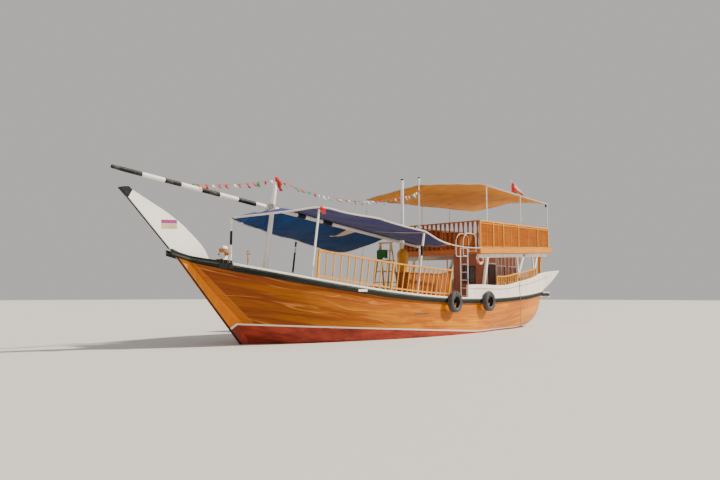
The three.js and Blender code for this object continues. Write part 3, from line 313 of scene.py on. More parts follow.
class Paint:
    def __init__(self, name):
        self.material = bpy.data.materials.new(name)
        self.material.use_nodes = True
        self.tree = self.material.node_tree
        self.shader = self.tree.nodes["Principled BSDF"]

    def add(self, kind, settings, inputs, out=0):
        return Wire(self, addNode(self.tree, kind, settings, inputs).outputs[out])

    def place(self):
        return self.add("ShaderNodeTexCoord", {}, {}, "Object")

    def surface(self):
        return self.add("ShaderNodeUVMap", {"uv_map": "surface"}, {})

    def axes(self, vector):
        node = addNode(self.tree, "ShaderNodeSeparateXYZ", {}, {0: vector})
        return [Wire(self, socket) for socket in node.outputs]

    def stretched(self, vector, scale, turn=(0, 0, 0)):
        return self.add("ShaderNodeMapping", {}, {"Vector": vector, "Scale": scale, "Rotation": turn})

    def noise(self, vector, scale, detail=3.0, roughness=0.55, warp=0.0):
        return self.add("ShaderNodeTexNoise", {}, {
            "Vector": vector, "Scale": scale, "Detail": detail, "Roughness": roughness, "Distortion": warp})

    def between(self, value, low, high, a=0.0, b=1.0):
        return self.add("ShaderNodeMapRange", {"clamp": True}, {0: value, 1: low, 2: high, 3: a, 4: b})

    def mix(self, share, a, b, style="MIX"):
        return self.add("ShaderNodeMix", {"data_type": "RGBA", "blend_type": style}, {0: share, 6: a, 7: b}, 2)

    def over(self, base, tint, mask, low, high, share):
        # the tint over the base, where the mask rises from low to high, at most by a share
        return self.mix(self.between(mask, low, high) * share, base, tint)

    def join(self, *values):
        return self.add("ShaderNodeCombineXYZ", {}, dict(enumerate(values)))

    def chance(self, value):
        return self.add("ShaderNodeTexWhiteNoise", {"noise_dimensions": "1D"}, {"W": value}, "Value")

    def bands(self, stops, share):
        return self.add("ShaderNodeValToRGB", {"stops": stops}, {"Fac": share})

    def shaped(self, value, kind="FLOOR"):
        return self.add("ShaderNodeMath", {"operation": kind}, {0: value})

    def finish(self, colour, roughness, height, strength, depth, **fixed):
        inputs = {"Base Color": colour, "Roughness": roughness}
        bump = {"Height": height, "Strength": strength, "Distance": depth}
        inputs["Normal"] = self.add("ShaderNodeBump", {}, bump, "Normal")
        inputs.update((key.replace("_", " "), value) for key, value in fixed.items())
        for key, value in inputs.items():
            feed(self.tree, self.shader.inputs[key], value)
        return self.material


# Finishes. Colours are linear

def woodPaint(name, light, dark, along=(0.7, 9, 9), gloss=0.42, wear=0.3, coat=0.06):
    # varnished or oiled timber with its grain along one axis
    p = Paint(name)
    spot = p.place()
    grain = p.noise(p.stretched(spot, along), 3.0, 5, 0.6, 0.6)
    fine = p.noise(p.stretched(spot, tuple(v * 4 for v in along)), 4.0, 2, 0.5)
    patches = p.noise(spot, 1.7, 3, 0.6)
    tone = p.between(grain * 0.7 + fine * 0.3, 0.34, 0.66)
    colour = p.mix(tone, dark, light)
    dull = p.between(patches, 0.5, 0.75) * wear
    faded = tuple(v * 0.75 + 0.07 for v in light)
    colour = p.mix(dull, colour, faded)
    rough = p.between(grain, 0.3, 0.7, gloss - 0.1, gloss + 0.14) + dull * 0.3
    return p.finish(colour, rough, grain * 0.6 + fine * 0.4, 0.35, 0.006, Coat_Weight=coat, Coat_Roughness=0.25)


def boardPaint(name, tint, dirt, under, wear=0.25, gloss=0.45, streak=(2.2, 2.2, 0.5), shine=0.4):
    # painted boards: brush marks, grime in patches, chips down to what is under the paint
    p = Paint(name)
    spot = p.place()
    grime = p.noise(p.stretched(spot, streak), 1.6, 6, 0.62, 0.4)
    brush = p.noise(p.stretched(spot, (1.5, 22, 22)), 3.0, 2, 0.5)
    chips = p.noise(spot, 9.0, 6, 0.72)
    colour = p.mix(p.between(grime, 0.42, 0.78) * 0.55, tint, dirt)
    bare = p.between(chips, 0.66 - wear * 0.12, 0.69 - wear * 0.1)
    colour = p.mix(bare * min(1, wear * 2.5), colour, under)
    height = brush * 0.25 + (1 - bare) * 0.6
    return p.finish(colour, p.between(grime, 0.3, 0.8, gloss - 0.08, gloss + 0.2), height, 0.3, 0.004,
                    Specular_IOR_Level=shine)


def bandPaint(name, stops, axis, start, end, dirt=(0.35, 0.33, 0.3)):
    # white and black bands along one axis, between start and end
    p = Paint(name)
    spot = p.place()
    part = p.axes(spot)["XYZ".index(axis)]
    share = p.between(part, start, end)
    bands = p.bands(stops, share)
    grime = p.noise(spot, 5.0, 6, 0.65, 0.3)
    fine = p.noise(spot, 40.0, 3, 0.5)
    colour = p.mix(p.between(grime, 0.5, 0.8) * 0.4, bands, dirt)
    return p.finish(colour, p.between(grime, 0.3, 0.75, 0.42, 0.66), grime * 0.5 + fine * 0.5, 0.2, 0.003,
                    Specular_IOR_Level=0.22)


def clothPaint(name, tint, worn, thread=260.0, seam=None, patch=0.0, nap=0.2):
    # woven cloth on the surface UV, whose unit is a metre
    p = Paint(name)
    uv = p.surface()
    u, v, _ = p.axes(uv)
    warp = p.shaped(u * thread, "SINE")
    weft = p.shaped(v * thread, "SINE")
    cross = warp * weft
    wide = p.noise(uv, 1.1, 4, 0.6, 0.3)
    small = p.noise(uv, 22.0, 3, 0.6)
    colour = p.mix(p.between(wide, 0.35, 0.72) * 0.8, tint, worn)
    colour = p.over(colour, tuple(c * 0.6 for c in tint), small, 0.3, 0.7, 0.25)
    height = cross * 0.15 + small * 0.5
    if seam:
        # stitched seams every so many metres along u
        edge = p.shaped(u / seam, "FRACT")
        line = p.between(edge, 0.0, 0.03 / seam) * p.between(edge, 0.06 / seam, 0.09 / seam, 1.0, 0.0)
        stitch = (p.shaped(v * 900, "SINE") > 0.1) * line
        colour = p.mix(line * 0.35, colour, tuple(c * 0.5 for c in tint))
        colour = p.mix(stitch * 0.3, colour, worn)
        height = height + line * 1.5
    if patch:
        spots = p.between(p.noise(uv, 0.9, 2, 0.4), 0.62, 0.64) * patch
        colour = p.mix(spots, colour, tuple(c * 0.55 for c in worn))
    return p.finish(colour, p.between(small, 0.3, 0.7, 0.78, 0.92), height, 0.35, 0.004,
                    Sheen_Weight=nap, Sheen_Roughness=0.5)


def ropePaint(name, light, dark, lay=0.035):
    # laid rope: strands that wind along the tube's own UV
    p = Paint(name)
    u, v, _ = p.axes(p.surface())
    strands = p.shaped((u * 3 + v / lay) * 2 * pi, "SINE")
    fibre = p.noise(p.place(), 140.0, 3, 0.6)
    grime = p.noise(p.place(), 6.0, 4, 0.6)
    colour = p.mix(p.between(strands, -0.9, 0.3), dark, light)
    colour = p.over(colour, dark, grime, 0.5, 0.8, 0.5)
    return p.finish(colour, p.between(fibre, 0.2, 0.8, 0.75, 0.95), strands * 0.6 + fibre * 0.4, 0.6, 0.006)


def metalPaint(name, tint, rust, metal=0.0, share=0.3, gloss=0.4):
    # painted or bare metal with rust in spots and runs
    p = Paint(name)
    spot = p.place()
    runs = p.noise(p.stretched(spot, (14, 14, 2.2)), 1.4, 6, 0.65)
    fine = p.noise(spot, 60.0, 3, 0.6)
    rusty = p.between(runs + fine * 0.12, 0.66 - share * 0.2, 0.74 - share * 0.15)
    colour = p.mix(rusty, p.mix(p.between(fine, 0.3, 0.7) * 0.2, tint, tuple(c * 0.7 for c in tint)), rust)
    return p.finish(colour, p.between(rusty, 0, 1, gloss, 0.8), rusty * 0.6 + fine * 0.4, 0.3, 0.003,
                    Metallic=(1 - rusty) * metal)


def planksPaint(name, light, dark, axis="Y", width=0.13, gap=0.03):
    # worn deck planks, counted along one axis, with dark caulked seams
    p = Paint(name)
    spot = p.place()
    parts = p.axes(spot)
    across = parts["XYZ".index(axis)] / width
    row = p.shaped(across)
    edge = p.shaped(across, "FRACT")
    seam = p.between(edge, 0, gap) * p.between(edge, 1 - gap, 1, 1, 0)
    run = parts[0] / 2.6 + p.chance(row) * 7
    butt = p.between(p.shaped(run, "FRACT"), 0.0, 0.003)
    board = p.chance(row + p.shaped(run) * 17.3)
    grain = p.noise(p.stretched(spot, (0.8, 14, 14)), 3.5, 5, 0.6, 0.4)
    grime = p.noise(spot, 1.1, 5, 0.6)
    colour = p.mix(p.between(grain, 0.3, 0.7), dark, light)
    colour = p.mix(board * 0.35, colour, tuple(c * 0.6 for c in light))
    colour = p.over(colour, tuple(c * 0.45 for c in dark), grime, 0.5, 0.75, 0.4)
    solid = seam * butt
    colour = p.mix(solid, (0.015, 0.012, 0.01), colour)
    return p.finish(colour, p.between(grain, 0.3, 0.7, 0.6, 0.85), solid + grain * 0.2, 0.5, 0.006)


def strakePaint(name):
    # the rub strake: black with scuffs, and a grey painted highlight along its upper half, by the height under the
    # sheer
    p = Paint(name)
    x, y, z = p.axes(p.place())
    run = x + 1.5
    curve = p.mix((run > 0), (0.0054, 0.0054, 0.0054), (0.009, 0.009, 0.009))
    rise, _, _ = p.axes(curve)
    under = 1.35 + rise * run * run - z
    scuffAndSheen = p.noise(p.join(x * 0.8, y * 2, z * 7), 2.6, 6, 0.68, 0.5)
    fine = p.noise(p.join(x * 3, y * 8, z * 8), 6.0, 4, 0.7)
    # the upper half gets a grey painted highlight, whose lower edge wanders with the scuff noise
    worn = p.between(under + scuffAndSheen * 0.13, 0.13, 0.07)
    colour = p.mix(p.between(scuffAndSheen, 0.35, 0.75), (0.004, 0.007, 0.007), (0.022, 0.03, 0.026))
    colour = p.mix(worn * 0.7, colour, (0.13, 0.145, 0.12))
    colour = p.over(colour, (0.55, 0.5, 0.42), fine + worn * 0.05, 0.69, 0.74, 0.7)
    return p.finish(colour, p.between(scuffAndSheen, 0.3, 0.7, 0.6, 0.85), scuffAndSheen * 0.6 + fine * 0.4, 0.4, 0.008,
                    Specular_IOR_Level=0.18)


def capPaint(name):
    # the cap rail: white, scuffed along its edges, and black over the stemhead
    p = Paint(name)
    spot = p.place()
    x, _, _ = p.axes(spot)
    grime = p.noise(p.stretched(spot, (0.8, 3, 3)), 2.0, 6, 0.62, 0.4)
    chips = p.noise(p.stretched(spot, (3, 12, 12)), 2.4, 5, 0.7)
    colour = p.mix(p.between(grime, 0.46, 0.8) * 0.4, (0.96, 0.94, 0.9), (0.55, 0.5, 0.43))
    colour = p.over(colour, (0.2, 0.17, 0.13), chips, 0.64, 0.68, 0.7)
    colour = p.mix(p.between(x + grime * 0.2, 9.16, 9.2), colour, (0.008, 0.01, 0.01))
    return p.finish(colour, p.between(grime, 0.3, 0.8, 0.46, 0.7), chips * 0.5 + grime * 0.5, 0.3, 0.004,
                    Specular_IOR_Level=0.25)


def hullPaint(name, h):
    # carvel planking on the surface UV (metres along, strakes up), the boot line and the bottom paint
    p = Paint(name)
    spot = p.place()
    x, _, z = p.axes(spot)
    u, v, _ = p.axes(p.surface())
    row = p.shaped(v)
    edge = p.shaped(v, "FRACT")
    seam = p.between(edge, 0, 0.035) * p.between(edge, 0.965, 1, 1, 0)
    run = u / 3.4 + p.chance(row) * 9
    butt = p.between(p.shaped(run, "FRACT"), 0.0, 0.0016)
    board = p.chance(row * 3.1 + p.shaped(run) * 13.7)
    flow = p.join(u * 0.55, v * 1.6, 0)
    grain = p.noise(flow, 2.2, 6, 0.62, 0.5)
    fine = p.noise(p.join(u * 3, v * 30, 0), 2.0, 3, 0.6)
    sheen = p.noise(p.join(u * 0.22, v * 0.3, 3), 1.6, 3, 0.5, 0.8)
    colour = p.mix(p.between(grain, 0.32, 0.7), h["dark"], h["light"])
    colour = p.over(colour, h["deep"], fine, 0.3, 0.75, 0.35)
    colour = p.mix(board * 0.4, colour, h["deep"])
    colour = p.over(colour, h["bright"], sheen, 0.48, 0.66, 0.7)
    # the bow is darkened and reddened as painted shade, with pale wandering streaks as painted reflection of the
    # water's light, so the quarter is the brightest
    fore = p.between(x, -1.0, 7.5)
    colour = p.mix(fore * 0.85, colour, h["bow"], "MULTIPLY")
    # pale streaks of painted reflection of the water's light, stronger towards the bow
    drift = p.noise(p.join(u * 0.25, v * 0.16, 2), 1.2, 2, 0.5)
    lane = p.shaped(v * 0.42 + drift * 4.4 + u * 0.07, "FRACT")
    reflectionLine = p.between(lane, 0.42, 0.5) * p.between(lane, 0.5, 0.58, 1.0, 0.0)
    broken = p.between(p.noise(p.join(u * 0.42, v * 0.45, 7), 1.3, 3, 0.6), 0.42, 0.58)
    colour = p.mix(reflectionLine * broken * (p.between(x, 0.5, 6.0) * 0.4 + 0.14), colour, h["streak"])
    runs = p.noise(p.join(u * 5.5, v * 0.16, 9), 1.5, 5, 0.65)
    colour = p.over(colour, h["stain"], runs, 0.6, 0.8, 0.35)
    colour = p.mix(seam * butt, h["seam"], colour)
    colour = stemBands(p, x, z, grain, colour, h)
    line = x * h["slope"] + h["rise"]
    line = p.add("ShaderNodeMath", {"operation": "MAXIMUM"}, {0: line, 1: h["least"]})
    under = p.noise(p.join(u * 1.1, v * 0.5, 5), 1.5, 6, 0.65, 0.5)
    bottom = p.mix(p.between(under, 0.35, 0.7), h["bottomDark"], h["bottom"])
    # the bottom paint darkens towards the waterline
    nearWaterDark = p.between(z + under * 0.25, 0.16, 0.02) * 0.75
    bottom = p.mix(nearWaterDark, bottom, h["nearWaterDark"])
    chip = p.between(under, 0.3, 0.62, 1.0, 0.85)
    stripe = p.mix(chip, h["bottom"], h["stripe"])
    colour = p.mix((z < line - h["stripeHalf"]) * 1.0, colour, bottom)
    colour = bootStripe(p, z, line, colour, stripe, h["stripeHalf"])
    rough = p.between(sheen, 0.4, 0.75, 0.3, 0.46) + (z < line) * 0.22 + fine * 0.06
    height = seam * butt * 0.8 + grain * 0.25 + fine * 0.12 + board * 0.2
    return p.finish(colour, rough, height, 0.45, 0.012, Specular_IOR_Level=0.2)


def bootStripe(p, z, line, colour, stripe, half):
    return p.mix((z < line + half) * (z > line - half), colour, stripe)


def stemBands(p, x, z, grain, colour, h):
    # the bright band behind the stem's black edge is painted light, for the stem's facet in sun; then the browner
    # apron, with a pale painted highlight line behind it
    back = stem["x"] + z * stem["rake"] - x
    low = 1.9 - z
    apronEnd = low * 0.19 + 0.43
    apron = p.mix(p.between(grain, 0.3, 0.7), h["apron"], h["apronLight"])
    band = p.mix(p.between(grain, 0.3, 0.7), h["band"], h["sunlitBandLight"])
    line = p.between(back - apronEnd, 0.0, 0.01) * p.between(back - apronEnd, 0.02, 0.032, 1, 0)
    colour = p.mix(line * 0.28, colour, h["streak"])
    colour = p.mix(back < apronEnd, colour, apron)
    return p.mix(back < low * 0.14 + 0.28, colour, band)


def stemPaint(name, h):
    # the stem: a black front edge, a varnished band painted bright as if in sun, then the boot line and bottom paint
    p = Paint(name)
    spot = p.place()
    x, y, z = p.axes(spot)
    back = stem["x"] + z * stem["rake"] - x
    grain = p.noise(p.stretched(spot, (8, 8, 1.4), (0, -0.7, 0)), 2.2, 5, 0.6, 0.4)
    wear = p.noise(spot, 3.0, 5, 0.65)
    colour = stemBands(p, x, z, grain, h["apron"], h)
    colour = p.over(colour, h["dark"], wear, 0.58, 0.78, 0.3)
    line = x * h["slope"] + h["rise"] + (back - 0.3255) * 0.42
    bottom = p.mix(p.between(wear, 0.35, 0.7), h["bottomDark"], h["bottom"])
    # the bottom paint darkens towards the waterline
    bottom = p.mix(p.between(z + wear * 0.2, 0.16, 0.0) * 0.7, bottom, h["nearWaterDark"])
    colour = p.mix(z < line, colour, bottom)
    colour = bootStripe(p, z, line, colour, h["stripe"], h["stripeHalf"])
    middle = p.shaped(y, "ABSOLUTE")
    edge = p.between(back + wear * 0.01, 0.022, 0.032, 1, 0) * p.between(middle, 0.048, 0.056, 1, 0)
    colour = p.mix(edge, colour, (0.01, 0.008, 0.007))
    colour = p.mix(z > 2.63, colour, (0.01, 0.01, 0.01))
    return p.finish(colour, p.between(wear, 0.3, 0.75, 0.4, 0.7), grain * 0.5 + wear * 0.5, 0.3, 0.006,
                    Specular_IOR_Level=0.28)


# Where the stem's front edge stands at the waterline, and how far it leans forward for each metre up
stem = {"x": 8.0, "rake": 0.9163, "half": 0.08}

hullLook = {
    "light": (0.84, 0.275, 0.0), "dark": (0.56, 0.15, 0.0), "deep": (0.32, 0.065, 0.0),
    "bright": (0.96, 0.4, 0.001), "stain": (0.2, 0.06, 0.012), "seam": (0.07, 0.018, 0.004),
    # the bow's tint is painted shade, and the streak colour is painted reflection of the water's light, also used for
    # the stem's highlight line
    "bow": (0.32, 0.18, 0.2), "streak": (0.95, 0.42, 0.09),
    "apron": (0.4, 0.1, 0.001), "apronLight": (0.54, 0.16, 0.002),
    # the band behind the stem is painted light, for its facet in sun
    "band": (0.66, 0.17, 0.0), "sunlitBandLight": (0.86, 0.27, 0.002),
    "slope": 0.053, "rise": 0.183, "least": 0.085, "stripeHalf": 0.024, "stripe": (0.86, 0.8, 0.72),
    # the last tone is what the bottom paint darkens to near the waterline
    "bottom": (0.48, 0.065, 0.032), "bottomDark": (0.2, 0.026, 0.016), "nearWaterDark": (0.045, 0.045, 0.022),
}

planking = hullPaint("planking", hullLook)
stemWood = stemPaint("stemWood", hullLook)
timberUp = woodPaint("timberUpright", (0.94, 0.43, 0.016), (0.56, 0.19, 0.003), (9, 9, 0.7), 0.5, 0.2)
paleWood = woodPaint("paleWood", (0.9, 0.66, 0.28), (0.55, 0.33, 0.1), (9, 9, 0.7), 0.6, 0.4, 0.0)
redWood = woodPaint("redWood", (0.4, 0.085, 0.004), (0.18, 0.032, 0.002), (9, 9, 0.8), 0.4, 0.15)
houseWood = woodPaint("houseWood", (0.6, 0.2, 0.12), (0.36, 0.11, 0.065), (9, 9, 0.8), 0.5)
whiteBoard = boardPaint("whiteBoard", (1.0, 0.95, 0.87), (0.52, 0.45, 0.37), (0.36, 0.18, 0.07), 0.32)
whiteClean = boardPaint("whiteClean", (1.0, 1.0, 0.98), (0.82, 0.8, 0.76), (0.5, 0.42, 0.3), 0.05, 0.4)
strakeBoard = strakePaint("strakeBoard")
capBoard = capPaint("capBoard")
plateBand = boardPaint("plateBand", (0.34, 0.035, 0.2), (0.24, 0.05, 0.16), (0.62, 0.55, 0.55), 0.1)
blackBoard = boardPaint("blackBoard", (0.008, 0.009, 0.012), (0.035, 0.036, 0.04), (0.1, 0.07, 0.04), 0.2, 0.5,
                        shine=0.18)
creamBoard = boardPaint("creamBoard", (0.62, 0.47, 0.3), (0.34, 0.24, 0.14), (0.22, 0.12, 0.06), 0.3, 0.55)
deckPlanks = planksPaint("deckPlanks", (0.42, 0.3, 0.18), (0.24, 0.16, 0.09))
upperPlanks = planksPaint("upperPlanks", (0.46, 0.26, 0.12), (0.27, 0.13, 0.05))
pipePaint = metalPaint("pipePaint", (0.92, 0.92, 0.9), (0.3, 0.12, 0.04), 0.0, 0.12)
rustIron = metalPaint("rustIron", (0.3, 0.22, 0.15), (0.34, 0.15, 0.06), 0.3, 1.3, 0.55)
bronze = metalPaint("bronze", (0.52, 0.33, 0.12), (0.12, 0.25, 0.17), 0.95, 0.35, 0.35)
enginePaint = metalPaint("enginePaint", (0.1, 0.17, 0.14), (0.06, 0.04, 0.03), 0.0, 0.5, 0.5)
blueCloth = clothPaint("blueCloth", (0.008, 0.018, 0.19), (0.03, 0.045, 0.31), seam=1.55, nap=0.08)
navyCloth = clothPaint("navyCloth", (0.0, 0.052, 0.24), (0.0, 0.105, 0.4), seam=1.55, nap=0.05)
buffCloth = clothPaint("buffCloth", (1.0, 0.42, 0.003), (0.78, 0.24, 0.0), seam=1.2, patch=0.35, nap=0.05)
greenCloth = clothPaint("greenCloth", (0.02, 0.16, 0.035), (0.05, 0.24, 0.06))
whiteRope = ropePaint("whiteRope", (0.9, 0.84, 0.75), (0.46, 0.38, 0.31))
greyRope = ropePaint("greyRope", (0.34, 0.35, 0.28), (0.12, 0.12, 0.09))
flagPaints = [clothPaint(f"flag{n}", c, tuple(v * 0.75 + 0.04 for v in c)) for n, c in (
    ("Red", (0.62, 0.03, 0.03)), ("White", (0.78, 0.75, 0.7)), ("Green", (0.03, 0.22, 0.06)))]
print("finishes made")

# The loose rope end that hangs from the port quarter, on the route that the part's source gives it
ropeEnd = {
    "radius": 0.011, "out": 2.3369,
    "route": [(-5.74, 0.0716, 2.05), (-5.741, 0.0716, 1.95), (-5.742, 0.072, 1.85), (-5.743, 0.076, 1.74),
              (-5.744, 0.086, 1.62), (-5.745, 0.0924, 1.51), (-5.746, 0.0924, 1.4), (-5.748, 0.091, 1.3),
              (-5.746, 0.088, 1.15), (-5.742, 0.084, 1.0), (-5.738, 0.081, 0.85), (-5.736, 0.08, 0.7),
              (-5.738, 0.079, 0.55), (-5.742, 0.077, 0.4), (-5.746, 0.075, 0.26), (-5.748, 0.074, 0.15)],
}


def makeRopeEnd(radius, out, route):
    path = curveThrough([(x, out + y, z) for x, y, z in route], 6)
    piece = makePiece("ropeEnd", [tube(path, radius, 12)], greyRope, "hanging_rope", "rope", sharp=60)
    knot = [path[-1] + Vector((0.016 * cos(a), 0.016 * sin(a), 0.012 * sin(2 * a) + 0.012 + 0.004 * a))
            for a in spread(0, 4 * pi, 40)]
    whipping = makePiece("ropeEndWhipping", [tube(knot, 0.0045, 8)], whiteRope, sharp=60)


makeRopeEnd(**ropeEnd)

# The hull's form, with the same values as the part's source, in metres
hullForm = {
    "sections": [  # x, half-breadth at the rail, keel rabbet, fullness
        (9.96, 0.08, 0, 1.0), (9.3, 0.61, 0, 1.15), (8.3, 1.19, 0, 1.35), (7.2, 1.61, 0, 1.6),
        (6.621, 1.78, -1.15, 1.9), (5.0, 2.14, -1.15, 2.8), (3.0, 2.4, -1.15, 4.0),
        (0.5, 2.53, -1.15, 5.2), (-2.0, 2.54, -1.15, 4.6), (-4.3, 2.44, -1.15, 3.2),
        (-6.9, 2.22, -0.42, 5.2), (-8.0, 2.03, -0.38, 5.2), (-9.375, 1.79, -0.35, 5.2)],
    "stations": 150, "girth": 30, "strakes": 22, "foreEnd": 9.96, "aftEnd": -9.375, "turnX": -8.0,
    "tightY": 0.066,
}
hullWall = 0.09
sheer = {"lowX": -1.5, "lowZ": 1.41, "foreRise": 0.009, "aftRise": 0.0054, "capHigh": 0.06, "deckZ": 1.13}
transom = {"x": -8.5, "rake": 0.52}
rabbet = {"inset": 0.24, "foreX": 6.621, "keelZ": -1.15, "aftX": -4.3, "riseX": -6.9, "riseZ": -0.42, "endX": -8.318,
          "endZ": -0.35}


def sheerZ(x):
    u = x - sheer["lowX"]
    return sheer["lowZ"] + sheer["foreRise" if u > 0 else "aftRise"] * u * u


def hullTop(x):
    return sheerZ(x) - sheer["capHigh"]


def deckZ(x):
    return sheer["deckZ"] + sheer["foreRise"] * max(x - sheer["lowX"], 0) ** 2


def railY(x):
    return stem["half"] if x >= hullForm["foreEnd"] else smoothRow(hullForm["sections"], x, 1)


def transomX(z):
    return transom["x"] - transom["rake"] * z


def rabbetZ(x):
    # up the stem, level along the keel, then up to the sternpost in two straight runs
    r = rabbet
    if x > r["foreX"]:
        return (x - stem["x"] + r["inset"] / sin(atan(1 / stem["rake"]))) / stem["rake"]
    if x >= r["riseX"]:
        return lerp(r["keelZ"], r["riseZ"], clamp((x - r["aftX"]) / (r["riseX"] - r["aftX"])))
    return lerp(r["riseZ"], r["endZ"], clamp((x - r["riseX"]) / (r["endX"] - r["riseX"])))


def skinY(x, z):
    low, top = rabbetZ(x), hullTop(x)
    t = clamp((z - low) / max(top - low, 1e-3))
    return lerp(stem["half"], railY(x), 1 - (1 - t) ** smoothRow(hullForm["sections"], x, 3))


def plankFoot(x):
    # the lowest plank's line, which leaves the keel and rises forward
    return rabbetZ(x) if x < 3 else rabbet["keelZ"] + 1.4 * ((x - 3) / (hullForm["foreEnd"] - 3)) ** 2


def innerY(x):
    return max(railY(x) - hullWall, hullForm["tightY"])


def makeHull(sections, stations, girth, strakes, foreEnd, aftEnd, turnX, tightY):
    rings, ats = [], []
    steps = [1 - (1 - j / girth) ** 1.15 for j in range(girth + 1)]
    for i in range(stations + 1):
        x = lerp(foreEnd, aftEnd, (i / stations) ** 1.12)
        low, top, full = rabbetZ(x), hullTop(x), smoothRow(sections, x, 3)
        turn = clamp((turnX - x) / (turnX - aftEnd))
        half = [(lerp(stem["half"], railY(x), 1 - (1 - t) ** full), lerp(low, top, t),
                 (lerp(low, top, t) - plankFoot(x)) / (top - plankFoot(x)) * strakes) for t in steps]
        floor = min(max(deckZ(x) - 0.0403, low + 0.02), top - 0.01)
        foot = min(innerY(x), max(skinY(x, floor) - 0.06, tightY))
        half += [(innerY(x), top, strakes + 0.5), (foot, floor, strakes + 3)]
        ring = half + [(-y, z, v + 100) for y, z, v in half[::-1]]
        rings.append([(lerp(turnX, transomX(z), turn) if turn else x, y, z) for y, z, _ in ring])
        ats.append([v for _, _, v in ring])
    n = len(rings[0])
    body = loft(rings, uv=lambda i, j: (rings[i][j % n][0], ats[i][j % n]))
    return makePiece("hullPlanking", [body], planking, "hull", "planking", sharp=30)


makeHull(**hullForm)

# Rub strake and cap rail; the nail heads along the strake are made further down
strakeHeight = 0.165
strakeLook = {"thick": 0.07, "soft": 0.014, "foreX": 10.6, "capOver": 0.08}


def softRing(x, corners, soft):
    # a section whose four corners are eased
    ring = []
    for k, (y, z) in enumerate(corners):
        for other in (corners[k - 1], corners[(k + 1) % len(corners)]):
            span = hypot(other[0] - y, other[1] - z)
            share = min(soft / max(span, 1e-6), 0.3)
            ring.append((x, lerp(y, other[0], share), lerp(z, other[1], share)))
    return ring


def mirror(item):
    return makePart([(x, -y, z) for x, y, z in item["points"]], [f[::-1] for f in item["faces"]],
                    [c[::-1] for c in item["uv"]] if item["uv"] else None, item["paint"])


def makePair(name, node, parts, paints, slot, **more):
    # a port piece and its mirror image to starboard
    makePiece(name + "Port", parts, paints, node and node + "_port", slot, **more)
    makePiece(name + "Starboard", [mirror(p) for p in parts], paints, node and node + "_starboard", slot, **more)


def strakeHigh(x):
    return lerp(strakeHeight, 0.095, clamp((x - 8.9) / 1.3))


def makeStrakes(thick, soft, foreX, capOver):
    xs = spread(foreX, hullForm["aftEnd"], 130)
    strake, cap = [], []
    for x in xs:
        top = hullTop(x)
        low = top - strakeHigh(x)
        inner = [max(skinY(x, z) if x < hullForm["foreEnd"] else 0, stem["half"]) + 0.0006 for z in (low, top)]
        strake.append(softRing(x, [(inner[0], low), (inner[1], top), (inner[1] + thick, top),
                                   (inner[0] + thick, low)], soft))
        wide = max(railY(x) - 0.11, 0.0805)
        cap.append(softRing(x, [(wide, top + 0.0003), (railY(x) + capOver, top + 0.0003),
                                (railY(x) + capOver, sheerZ(x)), (wide, sheerZ(x))], soft))
    makePair("rubStrake", "rub_strake", [loft(strake)], strakeBoard, "grey_paint")
    makePair("capRail", "cap_rail", [loft(cap)], capBoard, "white_paint")
    print("strakes and cap rails")


makeStrakes(**strakeLook)

# Raised quarter boards with their grooved moulding
quarter = {
    "rows": [(x, railY(x) + 0.06, sheerZ(x) + 0.0003, top) for x, top in (
        (-1.0, 1.89), (-2.0, 1.915), (-3.2, 1.905), (-4.3, 1.92),
        (-5.6, 2.08), (-6.9, 2.23), (-8.0, 2.37), (-9.375, 2.59))]
    + [(-10.0, 1.89, 2.02, 2.66), (-10.6, 1.935, 2.36, 2.715), (-11.11, 1.96, 2.69, 2.75)],
    "thick": 0.085, "grooveAt": 0.34, "grooveHalf": 0.016, "grooveDeep": 0.016,
}


def makeQuarterBoards(rows, thick, grooveAt, grooveHalf, grooveDeep):
    rings = []
    for x in spread(-1.0, -11.11, 110):
        y, low, top = (smoothRow(rows, x, c) for c in (1, 2, 3))
        line = lerp(top, low, grooveAt)
        half = min(grooveHalf, (top - low) * 0.1)
        deep = grooveDeep if top - low > 0.12 else 0.002
        inner = y - thick
        rings.append([(x, inner, low), (x, y - 0.012, low), (x, y, low + 0.012), (x, y, line - half),
                      (x, y - deep, line - half * 0.6), (x, y - deep, line + half * 0.6), (x, y, line + half),
                      (x, y, top - 0.014), (x, y - 0.014, top), (x, inner + 0.014, top), (x, inner, top - 0.014)])
    board = loft(rings)
    # a brown strip lines the groove as painted shade in its recess
    bottom = [(ring[4], ring[5]) for ring in rings[2:-12]]
    groove = loft([[a, b, (b[0], b[1] + 0.003, b[2]), (a[0], a[1] + 0.003, a[2])] for a, b in bottom], paint=1)
    makePair("quarterBoard", "quarter_board", [board, groove], [whiteBoard, redWood], "white_paint")
    print("quarter boards")


makeQuarterBoards(**quarter)

# The tall stemhead board, its black tip and edge, and its bare plates
stemhead = {
    "back": [(11.79, 4.262), (11.16, 3.97), (10.72, 3.76), (10.26, 3.49), (9.88, 3.2), (9.53, 2.9), (9.33, 2.62),
             (9.19, 2.33), (9.15, 2.113)],
    "foot": [(9.601, 2.2394), (9.64, 2.2396), (9.96, 2.5205), (10.0182, 2.5615), (10.527, 2.7608)],
    "front": [(10.602, 2.77), (11.905, 4.058)],
    "half": 0.055, "edge": 0.034,
    "plates": [{"at": (10.655, 3.515), "wide": 0.5, "high": 0.1, "turn": -4, "paint": 1},
               {"at": (10.645, 3.385), "wide": 0.5, "high": 0.14, "turn": -4, "paint": 0}],
}


